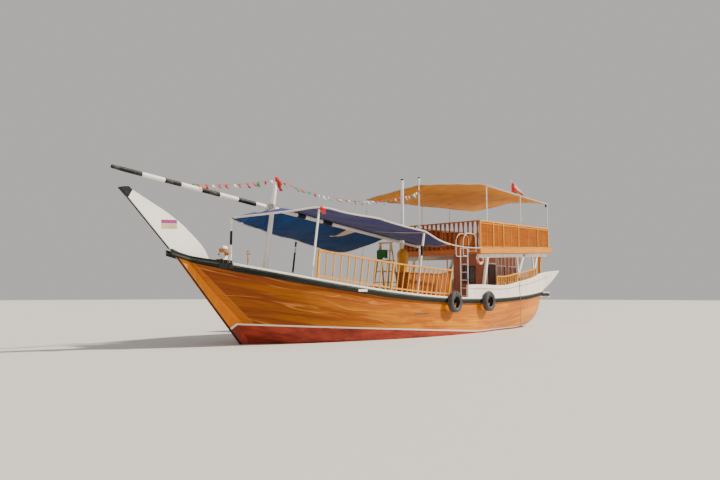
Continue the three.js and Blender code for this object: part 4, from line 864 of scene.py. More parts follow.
def makeStemhead(back, foot, front, half, edge, plates):
    backLine = [(p.x, p.z) for p in curveThrough([(x, 0, z) for x, z in back], 5)]
    outline = [front[0], front[1], *backLine, *foot]
    makePiece("stemheadBoard", [plateXZ(outline, -half, half)], whiteClean, "stemhead_board", "white_paint",
              bevel=0.012)
    tip = [(11.9054, 4.0581), (12.16, 4.285), (12.12, 4.305), (12.02, 4.33), (11.89, 4.345), (11.7904, 4.2622)]
    makePiece("stemheadTip", [plateXZ(tip, -half - 0.008, half + 0.008)], blackBoard, "stemhead_tip", "black_paint",
              bevel=0.012)
    # the front edge is painted black, and two bare plates stand on each side
    (x0, z0), (x1, z1) = front
    edgeLine = [(x0 + 0.006, z0 - 0.006), (x1 + 0.006, z1 - 0.006), (x1 - 0.003, z1 + 0.003),
                (x0 - 0.003, z0 + 0.003)]
    makePiece("stemheadEdge", [plateXZ(edgeLine, -edge, edge)], blackBoard, None, "black_paint", bevel=0.002)
    for side, label in sides:
        parts = []
        for p in plates:
            turn, (x, z) = radians(p["turn"]), p["at"]
            w, h = p["wide"] / 2, p["high"] / 2
            corners = [(x + a * w * cos(turn) - b * h * sin(turn), z + a * w * sin(turn) + b * h * cos(turn))
                       for a, b in ((-1, -1), (1, -1), (1, 1), (-1, 1))]
            y0, y1 = sorted((side * (half + 0.0004), side * (half + 0.006)))
            parts.append(plateXZ(corners, y0, y1, p["paint"]))
        makePiece("namePlates" + label, parts, [creamBoard, plateBand], None, "white_paint", bevel=0.002)
    print("stemhead")


makeStemhead(**stemhead)

# Masts and poles, all round and slightly tapered
black, white = (0.012, 0.012, 0.017), (0.92, 0.91, 0.88)
yardStops = [(0, white), (0.3885, black), (0.4252, white), (0.4856, black), (0.5129, white), (0.6475, black),
             (0.6964, white), (0.7468, black), (0.7935, white), (0.8439, black), (0.885, white), (0.9345, black)]
yard = {"y": -0.1464, "foreX": 12.29, "foreZ": 4.84, "foreR": 0.062, "aftX": -1.61, "aftZ": 3.52, "aftR": 0.05,
        "thickX": 6.2, "thickR": 0.075}
yardPaint = bandPaint("yardPaint", yardStops, "X", yard["aftX"], yard["foreX"])
postBands = {
    "bow": bandPaint("bowPostPaint", [(0, white), (0.55, black), (0.76, white)], "Z", 1.9, 3.9),
    "aft": bandPaint("aftPostPaint", [(0, white), (0.66, black), (0.8, white)], "Z", 1.2, 3.78),
    "starboard": bandPaint("starboardPostPaint", [(0, white), (0.45, black), (0.8, white), (0.9, black)], "Z", 1.4,
                           3.5),
    "mizzen": bandPaint("mizzenPaint", [(0, white), (0.965, (0.05, 0.05, 0.06))], "Z", 3.3, 6.25),
}
mizzenX, lampX = -0.28, -1.48

# Columns: piece, node, foot, head, foot radius, head radius, paint, slot
poleTable = [
    ("mastPole", "mast", (7.14, 0, 1.86), (6.65, 0, 5.26), 0.095, 0.065, whiteClean, "white_paint"),
    ("bowPost", "awning_post_bow", (8.47, 0, 2.03), (8.44, 0, 3.8), 0.04, 0.036, postBands["bow"], "painted_pipe"),
    ("portPostFore", "awning_post_port_fore", (6.48, 1.42, 1.71), (6.23, 1.545, 4.19), 0.038, 0.034, whiteClean,
     "painted_pipe"),
    ("portPostAft", "awning_post_port_aft", (1.93, 2.2, 1.24), (1.43, 2.225, 3.74), 0.045, 0.04, postBands["aft"],
     "painted_pipe"),
    ("starboardPost", "awning_post_starboard_fore", (4.18, -1.86, 1.43), (3.92, -1.84, 3.48), 0.038, 0.034,
     postBands["starboard"], "painted_pipe"),
    ("mizzenPole", "mizzen_pole", (mizzenX, 0, 3.3665), (mizzenX, 0, 6.18), 0.068, 0.062, postBands["mizzen"],
     "painted_pipe"),
    ("lampPole", "lamp_pole", (lampX, 0, 1.1305), (lampX, 0, 6.42), 0.038, 0.03, whiteClean, "painted_pipe"),
]


def makePoles(table):
    for name, node, foot, head, r0, r1, paint, slot in table:
        path = [Vector(foot).lerp(Vector(head), t) for t in (0, 0.02, 0.25, 0.5, 0.75, 0.99, 1)]
        radii = [lerp(r0, r1, t) for t in (0, 0.02, 0.25, 0.5, 0.75)] + [r1, r1 * 0.8]
        makePiece(name, [tube(path, radii, 28)], paint, node, slot, sharp=45)
    print("poles")


makePoles(poleTable)

# The yard slopes down aft and is thickest where it crosses the mast
def yardZ(x):
    return lerp(yard["foreZ"], yard["aftZ"], (yard["foreX"] - x) / (yard["foreX"] - yard["aftX"]))


def yardR(x):
    end = "fore" if x > yard["thickX"] else "aft"
    return lerp(yard["thickR"], yard[end + "R"], (x - yard["thickX"]) / (yard[end + "X"] - yard["thickX"]))


def makeYard():
    xs = spread(yard["aftX"], yard["foreX"], 40)
    path = [(x, yard["y"], yardZ(x)) for x in xs]
    radii = [yardR(x) for x in xs]
    radii[0] *= 0.8
    radii[-1] *= 0.8
    makePiece("yardSpar", [tube(path, radii, 28)], yardPaint, "yard", "white_paint", sharp=50)


makeYard()

# The two blue cloths hang from the yard to the deck posts, roped along their hems
awningLook = {
    "port": [  # x, out, height of the edge
        (8.42, 0.07, 3.825), (7.86, 0.62, 3.96), (7.0, 1.2, 4.13), (6.2, 1.6, 4.24), (5.2, 1.8, 4.185),
        (3.9, 2.02, 4.08), (2.6, 2.17, 3.95), (1.4, 2.26, 3.8), (0.3, 2.23, 3.57), (-0.35, 2.19, 3.445)],
    "starboard": [
        (8.42, -0.07, 3.825), (7.86, -0.39, 3.8), (7.0, -0.83, 3.76), (6.2, -1.18, 3.715), (5.2, -1.52, 3.64),
        (3.9, -1.88, 3.56), (2.6, -2.06, 3.4), (1.7, -2.1, 3.26), (0.9, -2.1, 3.26)],
    "aftEnd": {"port": -1.5, "starboard": 0.5},
    "ties": {"port": [(8.42, 0.07, 3.825), (6.23, 1.6, 4.24), (3.8, 2.03, 4.07), (1.43, 2.26, 3.8),
                      (-0.35, 2.19, 3.445)],
             "starboard": [(8.42, -0.07, 3.825), (6.2, -1.18, 3.71), (3.92, -1.86, 3.56), (0.9, -2.1, 3.26)]},
    "rows": 130, "columns": 44, "sag": 0.05, "fold": 0.012,
    "hang": {"port": 0.045, "starboard": 0.022}, "hemRope": {"port": 0.03, "starboard": 0.019},
    "endRope": 0.015, "thick": 0.003,
}


def ridgeZ(x):
    onYard = yardZ(min(x, 6.5)) + yardR(min(x, 6.5)) + 0.0104
    return onYard if x <= 6.5 else lerp(3.825, onYard, (8.42 - x) / 1.92)


def clothFolds(point, ties, size):
    # soft folds that run out from each tie point
    lift = 0
    for k, tie in enumerate(ties):
        away = Vector(point) - Vector(tie)
        far = away.length
        angle = atan2(away.y, away.x)
        lift += size * sin(angle * 17 + k * 2.1 + far * 0.7) * exp(-far / 1.1) * clamp(far / 0.25)
    return lift


def gridSheet(name, grid, paint, skip, uv, thick, instead, slot, sharp=70):
    # a cloth from rows of points, without the faces that skip names; gives the piece and its area
    n = len(grid[0])
    faces, uvs, area = [], [], 0
    for i in range(len(grid) - 1):
        for j in range(n - 1):
            spots = ((i, j), (i, j + 1), (i + 1, j + 1), (i + 1, j))
            quad = [grid[r][c] for r, c in spots]
            if skip and skip(sum(quad, Vector()) / 4):
                continue
            faces.append(tuple(r * n + c for r, c in spots))
            uvs.append([uv(r, c) for r, c in spots])
            a, b, c, d = quad
            area += ((b - a).cross(d - a).length + (b - c).cross(d - c).length) / 2
    a, b, c = (Vector(grid[0][0]), Vector(grid[0][-1]), Vector(grid[-1][0]))
    if (b - a).cross(c - a).z < 0:
        faces = [f[::-1] for f in faces]
        uvs = [u[::-1] for u in uvs]
    piece = makePiece(name, [makePart([p for row in grid for p in row], faces, uvs)], paint, instead, slot,
                      sharp=sharp, outward=False)
    thicken(piece, thick).offset = 0
    return piece, area


def makeAwning(side, look, paint, node, slot):
    edge = look[side]
    sign = 1 if side == "port" else -1
    bays = sorted({tie[0] for tie in look["ties"][side]})

    def clothAt(k, t):
        x = lerp(edge[0][0], edge[-1][0], k)
        y, z = smoothRow(edge, x, 1), smoothRow(edge, x, 2)
        ridgeX = lerp(edge[0][0], look["aftEnd"][side], k)
        nose = clamp((edge[0][0] - ridgeX) / 0.6)
        ridgeY = lerp(0, yard["y"], nose) + sign * 0.0005
        flat = lerp(0.012, 0.08, nose)
        # each bay between ties lets its hem hang a little
        span = next(((a, b) for a, b in zip(bays, bays[1:]) if a <= x <= b), None)
        hang = look["hang"][side] * sin(pi * (x - span[0]) / (span[1] - span[0])) if span else 0
        across = clamp((t - 0.05) / 0.95)
        onRidge = lerp(ridgeY, ridgeY + sign * flat, clamp(t / 0.05))
        yy = onRidge if t < 0.05 else lerp(ridgeY + sign * flat, y, across)
        xx = lerp(ridgeX, x, across)
        low = look["sag"] * clamp(abs(y - ridgeY) / 1.5) * 4 * across * (1 - across)
        zz = lerp(ridgeZ(ridgeX), z, across) - low - hang * across ** 3
        if across > 0:
            zz += clothFolds((xx, yy, zz), look["ties"][side], look["fold"]) * min(1, across * 6)
            zz += 0.007 * sin(xx * 3.1 + yy * 5.3) * across * (1 - across) * 4
        return xx, yy, zz - 0.004

    grid = clothGrid(look["rows"], look["columns"], clothAt)
    down = []
    for row in grid:
        run = [0.0]
        for a, b in zip(row, row[1:]):
            run.append(run[-1] + (b - a).length)
        down.append(run)

    def throughSlot(middle):
        # where the mast and yard pass, and the mizzen casing and lamp pole
        return ((6.2 < middle.x < 7.4 and -0.29 < middle.y < 0.14) or hypot(middle.x - mizzenX, middle.y) < 0.13
                or hypot(middle.x - lampX, middle.y) < 0.09)

    name = "awning" + side.capitalize()
    piece, area = gridSheet(name, grid, paint, throughSlot, lambda r, c: (-grid[r][0].x, down[r][c]), look["thick"],
                            node, slot)
    rim = [row[-1] + Vector((0, 0, 0.002)) for row in grid]
    end = [p + Vector((0, 0, 0.002)) for p in grid[-1]]
    ropes = [tube(rim, look["hemRope"][side], 12), tube(end, look["endRope"], 10)]
    hem = makePiece(name + "HemRope", ropes, [whiteRope], sharp=60)


makeAwning("port", awningLook, blueCloth, "blue_awning_port", "blue_cloth")
makeAwning("starboard", awningLook, navyCloth, "blue_awning_starboard", "navy_cloth")
print("blue awnings")

# The buff awning over the upper deck
buffLook = {
    "table": [  # share across, y, fore x, fore z, aft z
        (0, -2.1, -0.48, 5.6, 6.0), (0.25, -1.05, -0.98, 5.88, 6.12), (0.5, 0, -1.44, 6.13, 6.26),
        (0.75, 1.05, -2.47, 6.18, 6.16), (1, 2.1, -3.48, 6.19, 6.03)],
    "aftX": -9.7, "half": 2.1, "rows": 110, "columns": 60, "thick": 0.003, "sag": 0.07,
}


def buffPoint(t, u):
    rows = buffLook["table"]
    i = min(int(t * 4), 3)
    k = t * 4 - i
    y, foreX, foreZ, aftZ = (lerp(rows[i][c], rows[i + 1][c], k) for c in (1, 2, 3, 4))
    return lerp(foreX, buffLook["aftX"], u), y, lerp(foreZ, aftZ, u) - buffLook["sag"] * sin(pi * u) * sin(pi * t)


# The poles stand in the screens. Columns: label, side, x of each pole; the cloth is tied down at each
screenY = 2.055
roofPoles = [("Port", 1, [-3.54, -6.7, -9.62]), ("Starboard", -1, [-4.67, -7.15, -9.62])]


def makeBuffAwning(b):
    ties = [(x, side * b["half"], 6.0) for _, side, xs in roofPoles for x in xs] + [(-0.48, -b["half"], 5.6)]

    def clothAt(t, u):
        x, y, z = buffPoint(t, u)
        edge = min(t, 1 - t) * 2 * b["half"]
        z += 0.014 * sin(x * 2.6 + y * 1.3) * clamp(edge / 0.5) + 0.007 * sin(x * 7.1 - y * 4)
        z += clothFolds((x, y, z), ties, 0.016) - 0.022 * (1 - clamp(edge / 0.25)) * abs(sin(x * 1.03 + 0.5))
        return x, y, z - 0.006

    grid = clothGrid(b["columns"], b["rows"], clothAt)
    piece, area = gridSheet("awningBuff", grid, buffCloth, lambda m: hypot(m.x - lampX, m.y) < 0.07,
                            lambda r, c: (-grid[r][c].x, grid[r][c].y), b["thick"], "buff_awning", "buff_cloth")
    loop = grid[0] + [row[-1] for row in grid[1:]] + grid[-1][-2::-1] + [row[0] for row in grid[-2:0:-1]]
    hem = makePiece("awningBuffHem", [tube(loop, 0.014, 8, closed=True)], [whiteRope], sharp=60)


# The upper deck rises aft, and the rail on its screens rises a little less
upperDeck = {"fore": -2.9, "aft": -10.0, "half": 2.1, "slab": 0.09, "fascia": 0.24, "board": 0.06, "planks": 30,
             "slope": 0.054}
upperForeZ = 3.45
upperRail = {"foreZ": 4.62, "aftZ": 4.8, "long": 6.75}


def upperZ(x):
    return upperForeZ + upperDeck["slope"] * (upperDeck["fore"] - x)


def railTopZ(x):
    return lerp(upperRail["foreZ"], upperRail["aftZ"], (upperDeck["fore"] - x) / upperRail["long"])


def underDeckZ(x):
    # the underside of the upper deck's slab, less the clearance of what stands there
    return upperZ(x) - upperDeck["slab"] - 0.0005


def buffEdgeZ(side, x):
    t = (screenY * side / buffLook["half"] + 1) / 2
    foreX = buffPoint(t, 0)[0]
    return buffPoint(t, (x - foreX) / (buffLook["aftX"] - foreX))[2] - 0.01


def makeAwningPoles():
    # poles with a socket at each foot, and the edge pipes on their heads
    for label, side, xs in roofPoles:
        parts = []
        y = side * screenY
        for x in xs:
            top = buffEdgeZ(side, x) - 0.0206
            foot = railTopZ(x) + 0.001
            parts.append(tube([(x, y, foot), (x, y, top)], 0.024, 18))
            parts.append(tube([(x, y, foot), (x, y, foot + 0.006), (x, y, foot + 0.012), (x, y, foot + 0.07)],
                              [0.042, 0.042, 0.03, 0.029], 18))
            parts.append(tube([(x, y, top - 0.09), (x, y, top - 0.02)], 0.03, 18))
        path = [(x, y, buffEdgeZ(side, x) - 0.0206) for x in spread(xs[0] - 0.018, xs[-1] + 0.018, 30)]
        parts.append(tube(path, 0.02, 14))
        makePiece("awningPoles" + label, parts, pipePaint, "awning_poles_" + label.lower(), "steel_pipe", sharp=50)
    top = buffEdgeZ(-1, -0.57)
    foot = (-0.471, -2.4955, sheerZ(-0.47) + 0.001)
    parts = [tube([foot, (-0.57, -2.065, top - 0.012)], 0.024, 18),
             tube([foot, (-0.472, -2.491, foot[2] + 0.05)], 0.033, 18)]
    makePiece("awningPoleFore", parts, pipePaint, "awning_pole_fore", "steel_pipe", sharp=50)


makeAwningPoles()
makeBuffAwning(buffLook)
print("buff awning")


# Geometry Nodes: copies of one shape along a path, and a rope wound round a bar

class Tree:
    def __init__(self, name, inputs):
        self.tree = bpy.data.node_groups.new(name, "GeometryNodeTree")
        for label, kind, value in inputs:
            socket = self.tree.interface.new_socket(label, in_out="INPUT", socket_type="NodeSocket" + kind)
            if value is not None:
                socket.default_value = value
        self.tree.interface.new_socket("Result", in_out="OUTPUT", socket_type="NodeSocketGeometry")
        self.given = self.tree.nodes.new("NodeGroupInput").outputs

    def add(self, kind, settings, inputs):
        return addNode(self.tree, kind, settings, inputs).outputs

    def end(self, geometry):
        result = self.add("GeometryNodeSetMaterial", {}, {"Geometry": geometry, "Material": self.given["Finish"]})
        self.add("NodeGroupOutput", {}, {0: result[0]})
        return self.tree


def repeatTree(name, follow):
    # copies turn with the path, or keep their own direction and vary across it only
    t = Tree(name, [("Path", "Geometry", None), ("Shape", "Object", None), ("Count", "Int", 10),
                    ("Unevenness", "Float", 0.0), ("Seed", "Int", 1), ("Finish", "Material", None)])
    curve = t.add("GeometryNodeMeshToCurve", {}, {"Mesh": t.given["Path"]})[0]
    even = t.add("GeometryNodeResampleCurve", {}, {"Curve": curve, "Count": t.given["Count"]})[0]
    low = t.add("ShaderNodeMath", {"operation": "SUBTRACT"}, {0: 1.0, 1: t.given["Unevenness"]})[0]
    high = t.add("ShaderNodeMath", {"operation": "ADD"}, {0: 1.0, 1: t.given["Unevenness"]})[0]
    size = t.add("FunctionNodeRandomValue", {"data_type": "FLOAT"}, {2: low, 3: high, "Seed": t.given["Seed"]})[1]
    shape = t.add("GeometryNodeObjectInfo", {}, {"Object": t.given["Shape"]})["Geometry"]
    inputs = {"Points": even, "Instance": shape, "Scale": size}
    if follow:
        tangent = t.add("GeometryNodeInputTangent", {}, {})[0]
        inputs["Rotation"] = t.add("FunctionNodeAlignRotationToVector", {"axis": "X", "pivot_axis": follow},
                                   {"Vector": tangent})[0]
    else:
        inputs["Scale"] = t.add("ShaderNodeCombineXYZ", {}, {0: 1.0, 1: size, 2: size})[0]
    copies = t.add("GeometryNodeInstanceOnPoints", {}, inputs)[0]
    return t.end(t.add("GeometryNodeRealizeInstances", {}, {0: copies})[0])


def windTree():
    t = Tree("ropeTurns", [("Path", "Geometry", None), ("Turns", "Float", 5.0), ("Radius", "Float", 0.1),
                           ("Length", "Float", 0.1), ("Rope Radius", "Float", 0.01),
                           ("Finish", "Material", None)])
    coil = t.add("GeometryNodeCurveSpiral", {}, {
        "Resolution": 24, "Rotations": t.given["Turns"], "Start Radius": t.given["Radius"],
        "End Radius": t.given["Radius"], "Height": t.given["Length"]})[0]
    ring = t.add("GeometryNodeCurvePrimitiveCircle", {}, {"Resolution": 8, "Radius": t.given["Rope Radius"]})[0]
    rope = t.add("GeometryNodeCurveToMesh", {}, {"Curve": coil, "Profile Curve": ring, "Fill Caps": True})[0]
    return t.end(t.add("GeometryNodeRealizeInstances", {}, {0: rope})[0])


repeatTrees = {"Z": repeatTree("copiesAlongPath", "Z"), "": repeatTree("stackedCopies", "")}
windings = windTree()


def runTree(name, source, tree, values):
    # the tree's result as a plain mesh
    holder = bpy.data.objects.new(name + "Path", source)
    bpy.context.collection.objects.link(holder)
    modifier = holder.modifiers.new("repeat", "NODES")
    modifier.node_group = tree
    for item in tree.interface.items_tree:
        if item.in_out == "INPUT" and item.name in values:
            modifier[item.identifier] = values[item.name]
    bpy.context.view_layer.update()
    graph = bpy.context.evaluated_depsgraph_get()
    mesh = bpy.data.meshes.new_from_object(holder.evaluated_get(graph))
    mesh.name = name
    bpy.data.objects.remove(holder)
    return mesh


def repeatAlong(name, path, shapeParts, count, paint, follow="Z", uneven=0.0, seed=1):
    line = bpy.data.meshes.new(name + "Line")
    line.from_pydata([tuple(p) for p in path], [(i, i + 1) for i in range(len(path) - 1)], [])
    shape = bpy.data.objects.new(name + "Shape", makeMesh(name + "Shape", shapeParts))
    bpy.context.collection.objects.link(shape)
    mesh = runTree(name, line, repeatTrees[follow], {
        "Shape": shape, "Count": count, "Unevenness": uneven, "Seed": seed, "Finish": paint})
    bpy.data.objects.remove(shape)
    return mesh


def windAround(name, start, end, radius, turns, rope, paint):
    # rope turns round the bar from start to end
    a, b = Vector(start), Vector(end)
    empty = bpy.data.meshes.new(name + "Start")
    mesh = runTree(name, empty, windings, {
        "Turns": float(turns), "Radius": radius, "Length": (b - a).length, "Rope Radius": rope, "Finish": paint})
    mesh.transform(Matrix.Translation(a) @ (b - a).to_track_quat("Z", "Y").to_matrix().to_4x4())
    return mesh


def joinMeshes(name, meshes, sharp=65):
    # several meshes as one, each keeping its paint, with faces outward
    bm = bmesh.new()
    paints = []
    for mesh in meshes:
        start = len(bm.faces)
        bm.from_mesh(mesh)
        bm.faces.ensure_lookup_table()
        for face in bm.faces[start:]:
            paint = mesh.materials[min(face.material_index, len(mesh.materials) - 1)]
            if paint not in paints:
                paints.append(paint)
            face.material_index = paints.index(paint)
    bmesh.ops.recalc_face_normals(bm, faces=bm.faces)
    whole = bpy.data.meshes.new(name)
    bm.to_mesh(whole)
    bm.free()
    whole.polygons.foreach_set("use_smooth", [True] * len(whole.polygons))
    whole.set_sharp_from_angle(angle=radians(sharp))
    return whole, paints


def joinPiece(name, meshes, instead=(), sharp=65):
    whole, paints = joinMeshes(name, meshes, sharp)
    return finishPiece(name, whole, paints, instead)


def painted(name, parts, *paints):
    # parts as a loose mesh with its paints, to be joined with others
    mesh = makeMesh(name, parts)
    for paint in paints:
        mesh.materials.append(paint)
    return mesh


# Reed screens: a frame with its posts and battens, and reeds laid one above another in each bay
screenLook = {"posts": [-2.935, -4.05, -4.96, -6.41, -8.42, -9.6], "reeds": 66, "reedR": 0.0105, "aft": -9.65}


def reedFinish():
    p = Paint("reeds")
    spot = p.place()
    tone = p.noise(p.stretched(spot, (0.35, 1, 46)), 2.0, 3, 0.6)
    grain = p.noise(p.stretched(spot, (2, 20, 20)), 5.0, 3, 0.6)
    wide = p.noise(spot, 0.9, 3, 0.6)
    colour = p.mix(p.between(tone, 0.32, 0.68), (0.18, 0.034, 0.0), (0.6, 0.165, 0.0))
    colour = p.over(colour, (0.16, 0.03, 0.002), grain, 0.3, 0.7, 0.3)
    colour = p.over(colour, (0.66, 0.22, 0.003), wide, 0.5, 0.75, 0.3)
    return p.finish(colour, p.between(grain, 0.3, 0.7, 0.7, 0.88), grain, 0.3, 0.003, Specular_IOR_Level=0.15)


reedPaint = reedFinish()


def makeScreens(posts, reeds, reedR, aft):
    frameParts = [beam((-2.92, screenY, railTopZ(-2.92) - 0.03), (aft, screenY, railTopZ(aft) - 0.03), 0.075, 0.06)]
    for x in posts:
        frameParts.append(brick((x - 0.03, screenY - 0.032, upperZ(x + 0.03) + 0.004),
                                (x + 0.03, screenY + 0.038, railTopZ(x) - 0.058)))
    for a, b in zip(posts, posts[1:]):
        # thin battens hold the reeds top and bottom, with a slim post between
        for share in (0.03, 0.95):
            z0, z1 = (lerp(upperZ(x), railTopZ(x) - 0.06, share) for x in (a, b))
            frameParts.append(beam((a - 0.03, screenY + 0.016, z0), (b + 0.03, screenY + 0.016, z1), 0.01, 0.035))
        middle = (a + b) / 2
        frameParts.append(brick((middle - 0.011, screenY + 0.01, upperZ(middle) + 0.03),
                                (middle + 0.011, screenY + 0.024, railTopZ(middle) - 0.06)))
    meshes = []
    for k, (a, b) in enumerate(zip(posts, posts[1:])):
        long = a - b - 0.05
        middle = (a + b) / 2
        rise = upperDeck["slope"] * long / 2
        reed = tube([(-long / 2, 0, rise), (long / 2, 0, -rise)], reedR, 6)
        path = [(middle, screenY, lerp(upperZ(middle) + 0.016, railTopZ(middle) - 0.07, t)) for t in (0, 0.5, 1)]
        meshes.append(repeatAlong("reeds", path, [reed], reeds, reedPaint, "", 0.12, k + 3))
    whole, paints = joinMeshes("reedScreenPort", meshes, 70)
    other = whole.copy()
    other.transform(Matrix.Scale(-1, 4, (0, 1, 0)))
    other.flip_normals()
    finishPiece("reedScreenPort", whole, paints, "upper_screen_port")
    finishPiece("reedScreenStarboard", other, paints, "upper_screen_starboard")
    makePair("screenFrame", None, frameParts, timberUp, "timber", bevel=0.004)
    print("reed screens")


makeScreens(**screenLook)

# More finishes for the fittings
def turnedRope(name, light, dark):
    # rope that is wound, on object coordinates
    p = Paint(name)
    spot = p.place()
    strands = p.noise(p.stretched(spot, (60, 60, 90)), 1.0, 2, 0.5)
    grime = p.noise(spot, 7.0, 4, 0.6)
    colour = p.mix(p.between(strands, 0.35, 0.6), dark, light)
    colour = p.over(colour, dark, grime, 0.5, 0.8, 0.5)
    return p.finish(colour, p.between(strands, 0.2, 0.8, 0.75, 0.95), strands, 0.5, 0.004)


def glassPaint(name, tint, deep):
    # a pane with a curtain drawn behind it, whose folds are painted as stripes of light and shade
    p = Paint(name)
    spot = p.place()
    x, y, _ = p.axes(spot)
    fold = p.shaped((x + y) * 46, "SINE")
    dust = p.noise(spot, 4.0, 5, 0.65)
    colour = p.mix(p.between(fold, -0.8, 0.8), deep, tint)
    colour = p.over(colour, (0.5, 0.45, 0.4), dust, 0.5, 0.8, 0.2)
    return p.finish(colour, p.between(dust, 0.4, 0.8, 0.12, 0.4), dust, 0.05, 0.002, Coat_Weight=0.5,
                    Coat_Roughness=0.06)


def ensignPaint(name):
    # red at the hoist, then white, red and green bands
    p = Paint(name)
    u, v, _ = p.axes(p.surface())
    red, white, green = (0.72, 0.018, 0.022), (0.84, 0.8, 0.76), (0.03, 0.22, 0.06)
    bands = p.mix(v > 0.2, white, red)
    bands = p.mix(v > 0.4, bands, green)
    colour = p.mix(u < 0.17, bands, red)
    weave = p.shaped(u * 900, "SINE") * p.shaped(v * 900, "SINE")
    faded = p.noise(p.surface(), 6.0, 4, 0.6)
    colour = p.over(colour, (0.75, 0.45, 0.42), faded, 0.45, 0.75, 0.25)
    return p.finish(colour, p.between(faded, 0.3, 0.7, 0.75, 0.9), weave * 0.2 + faded * 0.5, 0.3, 0.003,
                    Sheen_Weight=0.3)


def treadPaint(name):
    # scuffed rubber: grey on the worn tread, with cross grooves, black on the walls and inside
    p = Paint(name)
    u, v, _ = p.axes(p.surface())
    worn = p.noise(p.place(), 5.0, 6, 0.68)
    fine = p.noise(p.place(), 45.0, 3, 0.6)
    blocks = p.shaped(u * 2 * pi * 46, "SINE")
    onTread = p.between(v, 0.105, 0.085)
    onTread = onTread * p.between(v, -0.105, -0.085)
    groove = p.between(blocks, 0.2, 0.6) * onTread
    colour = p.mix(p.between(worn, 0.35, 0.7), (0.014, 0.014, 0.017), (0.07, 0.07, 0.078))
    colour = p.mix(onTread * 0.7, colour, (0.135, 0.13, 0.14))
    colour = p.mix(groove * 0.75, colour, (0.01, 0.01, 0.012))
    return p.finish(colour, p.between(worn, 0.3, 0.7, 0.62, 0.85), fine * 0.3 - groove, 0.6, 0.012)


def buoyPaint(name):
    # sun-faded red ring with pale bands
    p = Paint(name)
    spot = p.place()
    x, _, z = p.axes(spot)
    across = p.shaped(x + 3.385, "ABSOLUTE")
    up = p.shaped(z - 3.068, "ABSOLUTE")
    band = (across < 0.075) + (up < 0.075)
    faded = p.noise(spot, 6.0, 5, 0.65)
    colour = p.mix(p.between(faded, 0.35, 0.7), (0.8, 0.2, 0.13), (0.86, 0.4, 0.32))
    colour = p.mix(band, colour, (0.86, 0.8, 0.74))
    return p.finish(colour, p.between(faded, 0.3, 0.7, 0.5, 0.7), faded, 0.15, 0.003)


tanRope = turnedRope("tanRope", (0.62, 0.34, 0.13), (0.26, 0.11, 0.04))
blackRope = turnedRope("blackRope", (0.06, 0.055, 0.05), (0.012, 0.012, 0.014))
paleLashing = turnedRope("paleLashing", (0.85, 0.78, 0.68), (0.4, 0.32, 0.24))
curtainGlass = glassPaint("curtainGlass", (0.5, 0.13, 0.07), (0.3, 0.06, 0.035))
darkGlass = glassPaint("darkGlass", (0.1, 0.055, 0.05), (0.025, 0.015, 0.014))
ensignCloth = ensignPaint("ensignCloth")
tyreRubber = treadPaint("tyreRubber")
buoyFoam = buoyPaint("buoyFoam")
canvas = clothPaint("canvas", (0.8, 0.66, 0.5), (0.6, 0.46, 0.32))
fasciaSide = woodPaint("fasciaSide", (0.9, 0.35, 0.002), (0.62, 0.2, 0.0), (0.7, 9, 9), 0.4, 0.1)
# a darker copy of the fascia wood, as painted shade, for the fore end board and its bead, the lower side beads and
# the balustrades' top rails
fasciaShade = woodPaint("fasciaShade", (0.62, 0.15, 0.003), (0.34, 0.065, 0.001), (9, 0.7, 9), 0.4, 0.15)
doorWood = woodPaint("doorWood", (0.1, 0.04, 0.024), (0.05, 0.018, 0.012), (9, 9, 0.8), 0.5)
lockerWood = woodPaint("lockerWood", (0.46, 0.125, 0.0), (0.22, 0.045, 0.0), (9, 9, 0.8), 0.5, 0.1)
tanIron = metalPaint("tanIron", (0.52, 0.33, 0.15), (0.3, 0.12, 0.035), 0.2, 0.9, 0.6)


def barAlong(path, wide, high, soft=0.006, paint=0):
    # a bar with eased edges along a path; wide is its level width
    pts = [Vector(p) for p in path]
    w, h = wide / 2, high / 2
    corners = [(-w, soft - h), (soft - w, -h), (w - soft, -h), (w, soft - h), (w, h - soft), (w - soft, h),
               (soft - w, h), (-w, h - soft)]
    rings = []
    for i, p in enumerate(pts):
        along = (pts[min(i + 1, len(pts) - 1)] - pts[max(i - 1, 0)]).normalized()
        level = Vector((0, 1, 0)) if abs(along.z) > 0.8 else Vector((-along.y, along.x, 0)).normalized()
        third = along.cross(level).normalized()
        rings.append([p + level * a + third * b for a, b in corners])
    return loft(rings, paint)


# The port railing leans aft a little more towards its aft end
railing = {"foreX": 6.54, "aftX": 0.33, "bays": 23, "stout": (0, 11, 23), "post": 0.034, "stoutPost": 0.068,
           "foot": 0.0287}


def makeSideRailing(foreX, aftX, bays, stout, post, stoutPost, foot):
    def spot(share, t):
        x = lerp(foreX, aftX, share)
        high = lerp(0.9, 1.01, share)
        return Vector((x - lerp(0.08, 0.3, share) * t, railY(x) - 0.02, sheerZ(x) - 0.025 + high * t))

    parts = []
    for i in range(bays + 1):
        share = i / bays
        wide = stoutPost if i in stout else post
        parts.append(barAlong([spot(share, foot), spot(share, 0.975)], wide, wide + 0.006, 0.004))
    for t, wide, high in ((1, 0.076, 0.055), (0.13, 0.034, 0.05)):
        line = [spot(s, t) for s in spread(0, 1, 50)]
        line[0].x += 0.03
        line[-1].x -= 0.03
        parts.append(barAlong(line, wide, high))
    makePiece("sideRailingPort", parts, timberUp, "side_railing_port", "timber")


makeSideRailing(**railing)

# Low balustrades on the quarter boards
lowRail = {"foreX": -3.5, "aftX": -8.35, "bays": 26, "rise": 0.39, "post": 0.032, "endPost": 0.06}


